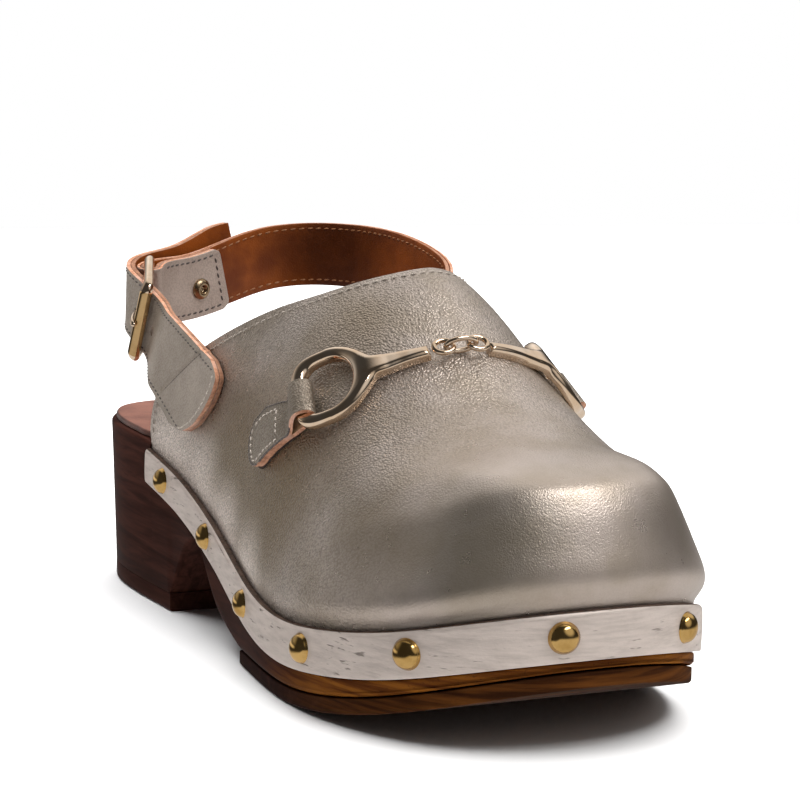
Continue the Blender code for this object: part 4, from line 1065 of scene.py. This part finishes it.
def buckleCorners():
    rear, _, rearOut, rearWidth = loopFrame(0.0)
    front, _, frontOut, frontWidth = loopFrame(-strap["rearBar"])
    return front + frontOut * buckle["frontOut"], frontWidth, rear - rearOut * strap["barSink"], rearWidth


def prongTable(radius, start):
    front, frontWidth, rear, rearWidth = buckleCorners()
    width = unit(frontWidth + rearWidth)
    reach = np.linalg.norm(front - rear)
    along = (front - rear) / reach
    outward = np.cross(along, width)
    clear = buckle["rod"] + gap + buckle["prong"]
    stops = ((start, 0.0), (3.6, 0.3), (reach * 0.5, 0.6 * clear), (reach - 3.0, clear + 0.3),
             (reach, clear + 0.1), (reach + 2.4, clear - 0.6))
    spots = np.array([rear + along * a + outward * o for a, o in stops])
    path = curveThrough(runLength(spots), spots)(np.linspace(0, runLength(spots)[-1], 40))
    heading = unit(np.gradient(path, axis=0))
    tall = np.cross(heading, width)
    tip = np.clip((np.linspace(1, 0, 40)) / 0.06, 0.05, 1) ** 0.5 * radius
    return tubePoints(path, width[None] * tip[:, None], tall * tip[:, None])


def makeSlingStrap():
    points = strapTable()
    total = strap["face"] + strap["lining"] + strap["plyGap"]
    spot, _, outward, _ = loopFrame(strap["outerAt"])
    row = int(np.argmin(np.linalg.norm(points[:, 8] - spot, axis=1)))
    side = 1 if np.dot(gridNormals(points)[row, 8], outward) > 0 else -1
    plies = [leatherPly(name, layered(points, sign * side * (total - strap[key]) / 2), strap[key],
                        (strapFaceFinish, liningFinish, rim), side)
             for name, sign, key, rim in (("slingStrapFace", 1, "face", edgeFinish),
                                          ("slingStrapLining", -1, "lining", brownEdgeFinish))]
    cut(plies, closedGrid("prongSlot", prongTable(buckle["prong"] + gap, strap["slotStart"])))
    finished(joined("slingStrap", plies), "strap_leather", "sling_strap")
    inset = 1 - strap["seamInset"] / (strap["width"] / 2)
    sewn = []
    for share in (-inset, inset):
        line, normal = shareLine(points, share)
        out = normal * side
        for name, rows, sign, thread, finish in (
                ("liningStitches", strap["liningRows"], -1, strap["thread"], saddleThread),
                ("faceStitches", strap["faceRows"], 1, strap["thread"], darkThread),
                ("flapStitches", strap["flapRows"], 1, strap["flapThread"], darkThread)):
            sewn.append(stitched(name, line[rows] + sign * out[rows] * total / 2, sign * out[rows], thread, finish))
    ends = gridNormals(points)[2, 2:-2] * side
    sewn.append(stitched("flapEndStitches", points[2, 2:-2] + ends * total / 2, ends, strap["flapThread"], darkThread))
    finished(joined("slingStrapStitches", sewn), "strap_leather")


def tabPoint(along, across):
    rise = math.radians(tab["rise"])
    y = tab["root"][0] + along * math.cos(rise) - across * math.sin(rise)
    z = tab["root"][1] + along * math.sin(rise) + across * math.cos(rise)
    return np.stack([wallX(y, z, -1) - gap - tab["thick"] / 2, y, z], -1)


def tabTable():
    shares = np.sin(np.linspace(-1, 1, 17) * math.pi / 2)
    out = column(tab["tailOffsets"], 1)
    front = column(tab["nose"], 1)(shares)
    rows = []
    for step in np.linspace(0, 1, 9):
        half = tab["width"] / 2 + (tab["widthFree"] - tab["width"]) / 2 * step
        rows.append(tabPoint(front + (tab["leaves"] - front) * step, shares * half))
    for run in np.linspace(-strap["rearBar"], tab["tail"], 16):
        narrow = max(0.0, (run - tab["tail"] + tab["narrowOver"]) / tab["narrowOver"])
        half = tab["widthBuckle"] / 2 * (1 - tab["tailNarrow"] * narrow ** 2)
        lift = tab["tailRise"] * max(0.0, run / tab["tail"]) ** tab["tailBow"]
        rows.append(strapRow(run, out(run), lift + half * shares))
    return resampled(rows, 190, 51)


def makeStrapTab():
    points = tabTable()
    normals = gridNormals(points)
    side = 1 if normals[30, 25][0] < 0 else -1
    a, b = [tabPoint(np.array(p[0]), np.array(p[1])) for p in tab["crease"]]
    share = np.clip(np.sum((points - a) * (b - a), -1) / np.sum((b - a) ** 2), 0, 1)
    apart = np.linalg.norm(points - a - (b - a) * share[..., None], axis=-1)
    points = points - normals * side * (tab["creaseDepth"] * np.exp(-(apart / tab["creaseWidth"]) ** 2))[..., None]
    plies = [leatherPly(name, layered(points, sign * side * tab["plyOut"]), tab["ply"],
                        (front, liningFinish, rim), side)
             for name, sign, front, rim in (("strapTabFace", 1, tabFaceFinish, edgeFinish),
                                            ("strapTabBack", -1, strapFaceFinish, brownEdgeFinish))]
    slot = closedGrid("prongHole", prongTable(buckle["prong"] + gap, buckle["rod"] + gap))
    nearest = np.argmin(np.linalg.norm(points - np.array(tab["hole"]), axis=-1))
    row, rank = np.unravel_index(nearest, points.shape[:2])
    bpy.ops.mesh.primitive_cylinder_add(radius=tab["holeRadius"] * 0.001, depth=tab["punch"] * 0.001, vertices=24)
    punch = bpy.context.object
    punch.location = toFrame(points[row, rank])
    punch.rotation_euler = Vector(normals[row, rank]).to_track_quat("Z", "Y").to_euler()
    cut(plies, slot)
    cut(plies, punch)
    finished(joined("strapTab", plies), "upper_leather", "strap_tab")
    out = gridNormals(points) * side
    start, ends, high = tab["seamRow"], tab["seamEnds"], tab["threadOut"]
    sewn = []
    for share in (-tab["seamShare"], tab["seamShare"]):
        line, normal = shareLine(points, share)
        line, normal = line[start:], normal[start:] * side
        sewn.append(stitched("tabSideStitches", line + normal * high, normal, tab["thread"], darkThread))
    line, normal = points[start, ends:-ends], out[start, ends:-ends]
    sewn.append(stitched("tabEndStitches", line + normal * high, normal, tab["thread"], paleThread))
    # a dark line along the crease: painted shade in its groove
    line = a + (b - a) * np.linspace(0, 1, 40)[:, None]
    ranks = np.array([np.argmin(np.linalg.norm(points - spot, axis=-1)) for spot in line])
    line, normal = points.reshape(-1, 3)[ranks], out.reshape(-1, 3)[ranks]
    sewn.append(stitched("tabCreaseShade", line + normal * tab["foldOut"], normal, tab["creaseShadeLine"], darkThread))
    finished(joined("strapTabStitches", sewn), "upper_leather")


def makeBuckle():
    front, frontWidth, rear, rearWidth = buckleCorners()
    reach = np.linalg.norm(rear - front)
    along = (rear - front) / reach
    path, radial, outs, wides, talls = [], [], [], [], []
    for quarter, (a, b) in enumerate(((1, 1), (0, 1), (0, -1), (1, -1))):
        for degrees in np.linspace(quarter * 90, quarter * 90 + 90, 8):
            c, s = math.cos(math.radians(degrees)), math.sin(math.radians(degrees))
            share = a + (c - (1 if a else -1)) * buckle["corner"] / reach
            width = unit(frontWidth + (rearWidth - frontWidth) * share)
            spot = front + along * reach * share
            path.append(spot + width * (b * (buckle["half"] - buckle["corner"]) + s * buckle["corner"]))
            radial.append(along * c + width * s)
            outs.append(np.cross(along, width))
            rod, atFront, rail = buckle["rod"], max(0.0, -c) ** 2, buckle["rail"] * s * s
            wides.append(rod + (buckle["frontWide"] - rod) * atFront + rail)
            talls.append(rod + (buckle["frontTall"] - rod) * atFront + rail)
    path, radial, outs, wides, talls = [np.array(v) for v in (path, radial, outs, wides, talls)]
    turn = np.linspace(0, 2 * math.pi, 25)[None]
    outerSign = 1 if np.dot(outs[0], loopFrame(0.0)[2]) > 0 else -1
    high = np.sin(turn) * np.where(np.sin(turn) * outerSign > 0, talls[:, None], buckle["rod"])
    loops = path[:, None] + radial[:, None] * (wides[:, None] * np.cos(turn))[..., None]
    loops = loops + outs[:, None] * high[..., None]
    piece = coated(closedGrid("buckleFrame", np.concatenate([loops, loops[:1]]), 70), goldFinish, warmGoldFinish)

    def onFrontBar(face):
        off = np.array(face.center) * 1000 - toFrame(front) * 1000
        return (abs(np.dot(off, along)) < buckle["warmBand"]
                and abs(np.dot(off, frontWidth)) < buckle["half"] - buckle["warmEnds"])

    secondFinish(piece, onFrontBar)
    finished(piece, "pale_gold", "buckle_frame")
    prong = closedGrid("bucklePin", prongTable(buckle["prong"], buckle["rod"] + gap), 70)
    finished(coated(prong, goldFinish), "pale_gold", "buckle_prong")


def makeRivet():
    centre, _, outward, width = loopFrame(buckle["rivetAt"])
    seat = centre - outward * (1.5 * strap["thick"] + gap) - width * buckle["rivetDrop"]
    side = np.cross(outward, width)
    r = buckle["rivetRadius"]
    profile = ((0.0, 0.35), (0.5, 0.3), (0.85, 0.45), (1.15, 1.0), (1.5, 1.3), (2.0, 1.35), (2.5, 1.1),
               (0.93 * r, 0.7), (r, 0.3), (r, -0.3))  # radius, height
    profile = curveThrough(np.arange(len(profile)), profile)(np.linspace(0, len(profile) - 1, 40))
    turn = np.linspace(0, 2 * math.pi, 41)
    rows = [seat - outward * h + (side * np.cos(turn)[:, None] + width * np.sin(turn)[:, None]) * max(a, 0.0)
            for a, h in profile]
    finished(coated(closedGrid("strapRivet", np.array(rows), 60), agedFinish), "stud_brass", "strap_rivet")


makeSlingStrap()
makeStrapTab()
makeBuckle()
makeRivet()
print("heel strap and buckle ready")

# Ornament
bit = {
    "line": ((90, -57.5), (75, -56.5), (63, -54.0), (45, -46.2), (34, -38.0), (13, -13.5), (7, -6.2)),  # angle, y
    "chainAngle": 83.5, "ringAngle": 45.3, "ringLength": 8.3, "ringWidth": 9.8, "ringSquare": 3.4, "band": 3.4,
    "height": 3.0, "lift": 1.2, "tilt": 0.9, "clear": 0.5, "topRound": 1.5, "underRound": 0.35, "medialSunk": 0.8,
    "barWidth": 2.9, "barEnd": 7.7, "neck": 3.6, "neckFrom": 6, "neckFall": 8.5, "neckPower": 1.15, "neckAt": -10.5,
    "drop": 12.5, "dropPower": 0.8, "joinOver": 6.6, "joinLift": 0.7, "blendFrom": 4.0, "blendOver": 14.0,
    "wire": 0.68, "linkHalf": 2.5, "linkSide": 2.1, "linkStand": 2.2, "linkLift": 3.0,
    "tab": 1.05, "tabWidth": 14.0, "foldWidth": 10.5, "tabLength": 24.5, "tabCorner": 6.2, "foldSlide": -2.0,
    "foldBack": 0.4, "foldReach": 0.75, "foldLift": 0.36, "topGap": 0.42, "spread": 1.6,
    "settle": 3.0, "topSettle": 5.0, "lowerTrim": -0.25, "rimSink": 0.12,
    "shadowPly": 0.2, "shadowThick": 0.25, "shadowLift": 0.15,
    "thread": {"pitch": 1.9, "length": 1.75, "width": 0.5, "height": 0.28, "slant": 0.15},
    "rimShadeLine": {"pitch": 1.2, "length": 1.5, "width": 0.6, "height": 0.06, "slant": 0.0},
    "seams": (np.s_[-26:-4, 4], np.s_[-26:-4, 14], np.s_[-4, 4:15], np.s_[-26, 4:15]),
    "rimShadeRows": (np.s_[-40:-1, 1], np.s_[-40:-1, -2], np.s_[-2, 1:-1]),
}


class BitLine:  # the ornament's line over one side of the vamp, measured from the chain's middle
    def __init__(self, side):
        self.side = side
        self.sunk = bit["medialSunk"] if side > 0 else 0.0
        rows = bit["line"]
        route = column(rows + tuple((180 - angle, y) for angle, y in rows[1:]), 1)
        self.angles = np.linspace(rows[-1][0], 180 - rows[-1][0], 600)
        self.ys = route(self.angles)
        run = runLength(vamp(self.ys, self.angles))
        self.run = run - np.interp(bit["chainAngle"], self.angles, run)
        angle = bit["ringAngle"] if side < 0 else 180 - bit["ringAngle"]
        self.ringRun = side * float(np.interp(angle, self.angles, self.run))

    def place(self, run):
        run = np.asarray(run, float) * self.side
        return np.interp(run, self.run, self.ys), np.interp(run, self.run, self.angles)

    def frame(self, run):  # surface point, direction away from the chain, normal, fore-and-aft direction
        run = np.asarray(run, float)
        along = unit(vamp(*self.place(run + 0.6)) - vamp(*self.place(run - 0.6)))
        normal = vampNormal(*self.place(run))
        normal = unit(normal - along * np.sum(normal * along, -1, keepdims=True))
        return vamp(*self.place(run)), along, normal, np.cross(normal, along)

    def ringFrame(self):
        here, along, normal, across = self.frame(self.ringRun)
        return here + normal * (bit["lift"] + bit["height"] / 2 - self.sunk), along, normal, across


def bitPlace(line, a, b):  # middle of the metal's thickness, and its upward direction
    centre, along, normal, across = line.ringFrame()
    flat = centre + along * a[..., None] + across * b[..., None]
    flat = flat + normal * (bit["tilt"] * a / bit["ringLength"])[..., None]
    start = line.ringRun - bit["ringLength"]
    run = line.ringRun + a
    here, _, up, wide = line.frame(run)
    join = np.clip(1 - (start - run) / bit["joinOver"], 0, 1)
    height = bit["clear"] + bit["height"] / 2 + join * (bit["lift"] - bit["clear"] + bit["joinLift"]) - line.sunk
    bar = here + up * height[..., None] + wide * b[..., None]
    w = np.clip((start + bit["blendFrom"] - run) / bit["blendOver"], 0, 1)
    w = (w * w * (3 - 2 * w))[..., None]
    return flat * (1 - w) + bar * w, unit(normal * (1 - w) + up * w)


def bitHalf(a):  # half width of the ornament's outline at a distance from the ring's middle
    width = bit["ringWidth"] + bit["band"] / 2
    far = bit["ringLength"] + bit["band"] / 2
    drop = np.clip(1 - (np.abs(a) / bit["drop"]) ** 2, 0, 1) ** bit["dropPower"] * width
    square = np.clip(1 - (np.abs(a) / far) ** bit["ringSquare"], 0, 1) ** (1 / bit["ringSquare"]) * width
    past = np.clip(-a - bit["neckFrom"], 0, None) / bit["neckFall"]
    neck = bit["barWidth"] / 2 + bit["neck"] * np.exp(-past ** bit["neckPower"])
    return np.where(a > 0, square, (drop ** 4 + np.where(a < 0, neck, 0) ** 4) ** 0.25)


def bitOutline(line):  # one side of the outline, from the ring's far end to the bar's end
    far = bit["ringLength"] + bit["band"] / 2
    end = -(line.ringRun - bit["barEnd"])
    a = np.concatenate([far * np.cos(np.linspace(0, math.pi / 2, 60)), np.linspace(0, end, 240)[1:]])
    return np.stack([a, bitHalf(a)], -1), end


def distanceTo(points, line):  # from each point to a run of straight pieces
    start, step = line[:-1], np.diff(line, axis=0)
    arm = points[:, None] - start[None]
    share = np.clip(np.sum(arm * step[None], -1) / np.maximum(np.sum(step ** 2, -1), 1e-12)[None], 0, 1)
    return np.min(np.linalg.norm(arm - share[..., None] * step[None], axis=2), axis=1)


def makeBit(line, label):
    length, width, band = bit["ringLength"], bit["ringWidth"], bit["band"]
    outline, end = bitOutline(line)
    ringSteps, neckSteps, bandSteps, barRows = 64, 12, 12, 46
    ringPart = outline[outline[:, 0] >= bit["neckAt"]]
    run = runLength(ringPart)
    stops = np.linspace(0, run[-1], ringSteps + 1)
    outerSide = tableAt(stops, run, ringPart)
    neckHalf = outerSide[-1, 1]
    acrossNeck = neckHalf * np.sin(np.linspace(math.pi / 2, 0, neckSteps + 1))[1:]
    outerSide = np.vstack([outerSide, np.stack([0 * acrossNeck + outerSide[-1, 0], acrossNeck], -1)])
    turn = np.linspace(0, math.pi, len(outerSide))
    c, si = np.cos(turn), np.sin(turn)
    square = 2 / np.where(c > 0, bit["ringSquare"], 2.0)
    innerSide = np.stack([np.sign(c) * np.abs(c) ** square * (length - band / 2),
                          np.abs(si) ** square * (width - band / 2)], -1)
    flip = np.array([1.0, -1.0])
    outer = np.vstack([outerSide, outerSide[-2:0:-1] * flip])
    inner = np.vstack([innerSide, innerSide[-2:0:-1] * flip])
    count = len(outer)
    shares = (1 - np.cos(np.linspace(0, math.pi, bandSteps + 1))) / 2
    ringVerts = [inner * (1 - t) + outer * t for t in shares]
    near = len(outerSide) - 1  # the point of the outer loop that faces the chain
    span = np.arange(near - neckSteps, near + neckSteps + 1)
    acrossShare = outer[span][:, 1] / neckHalf
    fall = np.linspace(0, 1, barRows)[1:]
    rowsA = outer[near, 0] + (end - outer[near, 0]) * (1 - (1 - fall) ** 1.25)
    barVerts = [np.stack([0 * acrossShare + a, acrossShare * bitHalf(np.array(a))], -1) for a in rowsA]
    flat = np.vstack(ringVerts + barVerts)
    tip = np.stack([np.full(21, end), np.linspace(-1, 1, 21) * outline[-1, 1]], -1)
    borders = (outline, outline * flip, tip, np.vstack([inner, inner[:1]]))
    apart = np.clip(np.min([distanceTo(flat, border) for border in borders], axis=0) - 0.02, 0, None)
    faces = []
    for k in range(bandSteps):
        faces += [(k * count + i, k * count + (i + 1) % count, (k + 1) * count + (i + 1) % count,
                   (k + 1) * count + i) for i in range(count)]
    first = bandSteps * count
    rowNow = [first + k for k in span]
    for r in range(barRows - 1):
        rowNext = [first + count + r * len(span) + i for i in range(len(span))]
        faces += [(rowNow[i], rowNow[i + 1], rowNext[i + 1], rowNext[i]) for i in range(len(span) - 1)]
        rowNow = rowNext
    place, up = bitPlace(line, flat[:, 0], flat[:, 1])
    r, under, high = bit["topRound"], bit["underRound"], bit["height"]
    over = high - r + np.sqrt(r ** 2 - np.clip(r - apart, 0, r) ** 2) - high / 2
    below = under - np.sqrt(under ** 2 - np.clip(under - apart, 0, under) ** 2) - high / 2
    points = toFrame(np.vstack([place + up * below[:, None], place + up * over[:, None]]))
    bm = bmesh.new()
    verts = [bm.verts.new(p) for p in points]
    size = len(flat)
    for face in faces:
        bm.faces.new([verts[size + i] for i in face])
        bm.faces.new([verts[i] for i in reversed(face)])
    bm.verts.index_update()
    for e in [e for e in bm.edges if len(e.link_faces) == 1 and e.verts[0].index >= size]:
        i, j = [v.index for v in e.verts]
        bm.faces.new((verts[i], verts[j], verts[j - size], verts[i - size]))
    mesh = bpy.data.meshes.new(f"bit_{label}")
    bm.to_mesh(mesh)
    bm.free()
    piece = bpy.data.objects.new(f"snaffleBit{label}", mesh)
    bpy.context.collection.objects.link(piece)
    inEditMode(coated(piece, goldFinish), weld, faceOut)
    smoothed(piece, 50)
    return piece


def makeLinks(lateral, medial):
    pitch = bit["barEnd"] - gap - bit["linkHalf"] - bit["wire"]
    for k, (line, run) in enumerate(((lateral, pitch), (lateral, 0.0), (medial, pitch))):
        here, along, up, across = line.frame(run)
        stands = run == 0.0
        longHalf = pitch - bit["linkHalf"] + 2 * bit["wire"] + 3 * gap if stands else bit["linkHalf"]
        wide, tall = (up, across) if stands else (across, up)
        sideHalf = bit["linkStand"] if stands else bit["linkSide"]
        turn = np.linspace(0, 2 * math.pi, 49)[:, None]
        spot = here + up * bit["linkLift"] + along * longHalf * np.cos(turn) + wide * sideHalf * np.sin(turn)
        radial = unit(along * np.cos(turn) / longHalf + wide * np.sin(turn) / sideHalf)
        loops = tubePoints(spot, radial * bit["wire"], np.repeat(tall[None], 49, 0) * bit["wire"], 14)
        piece = coated(closedGrid(f"chainLink_{k + 1}", loops, 70), goldFinish)
        finished(piece, "pale_gold", f"bit_link_{k + 1}")


def makeBitTab(line, label):
    half = bit["tabWidth"] / 2
    centre, ringAlong, ringNormal, ringAcross = line.ringFrame()
    band = centre + ringAlong * (bit["ringLength"] - bit["foldBack"]) + ringNormal * bit["tilt"]
    start = line.ringRun + bit["ringLength"]
    reach = bit["band"] / 2 + bit["foldReach"] + bit["tab"] / 2
    lift = bit["height"] / 2 + bit["foldLift"] + bit["tab"] / 2
    layers = (gap + bit["tab"] / 2, bit["topGap"] + 1.5 * bit["tab"])
    shares = np.sin(np.linspace(-1, 1, 13) * math.pi / 2)
    nose = cornerNose(shares * half, half, bit["tabCorner"])

    def laid(share, height, settle, more=0.0):  # share 1 at the sewn end
        run = start + settle + (bit["tabLength"] + more - settle - nose) * share
        here, _, up, across = line.frame(run)
        full = min(1.0, bit["spread"] * share)
        wide = bit["foldWidth"] / 2 + (half - bit["foldWidth"] / 2) * full + more
        slide = bit["foldSlide"] * line.side * (1 - full)
        return here + up * height + across * (wide * shares + slide)[:, None]

    ends = np.linspace(1, 0, 9)
    rows = [laid(share, layers[0], bit["settle"], bit["lowerTrim"]) for share in ends]
    slide = ringAcross * bit["foldSlide"] * line.side
    for degrees in (-80, -50, -20, 10, 40, 70, 95):
        bent = math.radians(degrees)
        spot = band + slide - ringAlong * reach * math.cos(bent) + ringNormal * lift * math.sin(bent)
        rows.append(spot + ringAcross * (bit["foldWidth"] / 2 * shares)[:, None])
    rows += [laid(share, layers[1], bit["topSettle"]) for share in ends[::-1]]
    points = resampled(rows, 110, 19)
    outward = points[-4, 9] - vamp(*line.place(start + bit["tabLength"]))
    side = 1 if np.dot(gridNormals(points)[-4, 9], outward) > 0 else -1
    piece = leatherPly(f"bitLoop{label}", points, bit["tab"], (loopFaceFinish, innerFinish, edgeFinish), side, 0.4)
    finished(piece, "upper_leather", f"bit_tab_{label.lower()}")
    # a near-black sheet just wider than the loop, under it: painted shade round the loop's edges
    under = [laid(share, bit["shadowLift"], bit["settle"], bit["shadowPly"]) for share in ends]
    ply = leatherPly(f"bitLoopShadeSheet{label}", resampled(under, 40, 19), bit["shadowThick"],
                     (shadowFinish,) * 3, 1, 0.05)
    finished(ply, "upper_leather")
    out = gridNormals(points) * side * bit["tab"] / 2
    top, normals = points + out, unit(out)
    sewn = [stitched("bitLoopStitch", top[part], normals[part], bit["thread"], paleThread) for part in bit["seams"]]
    # dark lines sunk just inside the loop's outline: painted shade along its edges
    low = top - normals * bit["rimSink"]
    sewn += [stitched("bitLoopRimShade", low[part], normals[part], bit["rimShadeLine"], darkThread) for part in bit["rimShadeRows"]]
    finished(joined(f"bitLoopStitches{label}", sewn), "upper_leather")


bitLines = {"Lateral": BitLine(-1), "Medial": BitLine(1)}
for label, line in bitLines.items():
    finished(makeBit(line, label), "pale_gold", f"bit_{label.lower()}")
    makeBitTab(line, label)
makeLinks(bitLines["Lateral"], bitLines["Medial"])
print("ornament ready")

# Floor, light and camera
studio = {
    "floor": 4.0, "floorTones": ((0.86, 0.86, 0.87), (0.88, 0.88, 0.88)),
    "lamps": (  # name, place, target, size, power, seen in the gloss
        ("floorWash", (0.35, 0.6, 2.2), (0.35, 0.6, 0), (3.4, 3.4), 150, False),
        ("keyBox", (0.35, -0.70, 1.10), (0, -0.09, 0.05), (0.92, 0.32), 6.3, True)),
    "ambient": 0.05, "low": 0.70, "lowSpan": (0.0, 0.2), "roomTone": (1.0, 0.975, 0.95, 1),
    "left": {"aim": (-1, 0.35, 0), "span": (0.2, 0.8), "power": 0.25},  # the floor is dark farther off on that side
    "windows": (  # bright parts of the room: side, soft box, front, far edge of the floor; up and down are heights
        {"aim": (-0.35, 0.94, 0.0), "span": (0.45, 0.9), "power": 0.40, "up": (0.04, 0.42), "down": (0.6, 0.9)},
        {"aim": (0.45, 0.4, 0.75), "span": (0.62, 0.85), "power": 0.78, "up": (0.15, 0.5), "behind": (-0.24, -0.06)},
        {"aim": (0.36, -0.72, 0.60), "span": (0.80, 0.97), "power": 0.62},
        {"aim": (-0.53, 0.85, 0.0), "span": (0.75, 0.95), "power": 1.0, "up": (-0.14, -0.02), "down": (0.02, 0.14)}),
    "camera": (-263.5, -570.1, 143.1), "azimuth": -25.78, "elevation": 7.06, "roll": 1.07, "lens": 106.11,
}


def makeFloor():
    nothingSelected()
    bpy.ops.mesh.primitive_grid_add(x_subdivisions=4, y_subdivisions=4, size=studio["floor"])
    floor = bpy.context.object
    floor.name = "studioFloor"
    f = Finish("paleFloor")
    tone = f.tones(f.noise(900, 2.0, 0.5), 0.3, 0.7, *studio["floorTones"])
    coated(floor, f.feed({"Base Color": tone, "Roughness": 0.7}))
    floor.visible_glossy = False  # the world's lower half stands for it in the gloss


def makeLight(name, place, target, size, power, glossy):
    nothingSelected()
    bpy.ops.object.light_add(type="AREA", location=place)
    lamp = bpy.context.object
    lamp.name = name
    lamp.data.shape = "ELLIPSE"
    lamp.data.size, lamp.data.size_y = size
    lamp.data.energy = power
    lamp.visible_glossy = glossy
    lamp.rotation_euler = (Vector(target) - Vector(place)).to_track_quat("-Z", "Y").to_euler()


def makeWorld():  # white behind the shoe, darker at its left and in front, as in a studio
    world = bpy.data.worlds.new("studio")
    bpy.context.scene.world = world
    world.use_nodes = True
    tree = world.node_tree
    direction = addNode(tree, "ShaderNodeTexCoord", out=0)

    def towards(aim):
        aim = tuple(unit(np.array(aim, float)))
        return addNode(tree, "ShaderNodeVectorMath", {"operation": "DOT_PRODUCT"}, {0: direction, 1: aim}, 1)

    def window(look):
        glow = smoothStep(tree, towards(look["aim"]), *look["span"]) * look["power"]
        if "up" in look:
            glow = glow * smoothStep(tree, height, *look["up"])
        if "down" in look:
            glow = glow * (1 - smoothStep(tree, height, *look["down"]))
        if "behind" in look:
            glow = glow * smoothStep(tree, towards((0, 1, 0)), *look["behind"])
        return glow

    height = addNode(tree, "ShaderNodeSeparateXYZ", None, {0: direction}, 2)
    depth = height * -1.0 - window(studio["left"])
    glow = smoothStep(tree, depth, *studio["lowSpan"]) * studio["low"] + studio["ambient"]
    for look in studio["windows"]:
        glow = glow + window(look)
    room = addNode(tree, "ShaderNodeBackground", None, {"Color": studio["roomTone"], "Strength": glow})
    white = addNode(tree, "ShaderNodeBackground", None, {"Color": (1, 1, 1, 1), "Strength": 1.0})
    shown = addNode(tree, "ShaderNodeLightPath", out=0)
    both = addNode(tree, "ShaderNodeMixShader", None, {0: shown, 1: room, 2: white})
    tree.links.new(both.socket, tree.nodes["World Output"].inputs["Surface"])


def makeCamera():
    az, el, roll = [math.radians(studio[k]) for k in ("azimuth", "elevation", "roll")]
    back = Vector((math.sin(az) * math.cos(el), -math.cos(az) * math.cos(el), math.sin(el)))
    right = Vector((math.cos(az), math.sin(az), 0))
    up = back.cross(right)
    turnedRight = right * math.cos(roll) + up * math.sin(roll)
    turnedUp = up * math.cos(roll) - right * math.sin(roll)
    nothingSelected()
    bpy.ops.object.camera_add()
    camera = bpy.context.object
    camera.data.lens = studio["lens"]
    camera.data.sensor_width = 36
    camera.data.clip_start = 0.02
    turn = Matrix((turnedRight, turnedUp, back)).transposed()
    camera.matrix_world = Matrix.Translation(Vector(toFrame(studio["camera"]))) @ turn.to_4x4()
    bpy.context.scene.camera = camera


makeFloor()
for lamp in studio["lamps"]:
    makeLight(*lamp)
makeWorld()
makeCamera()
bpy.context.scene.view_settings.view_transform = "Standard"
bpy.context.view_layer.update()
print("stage ready")
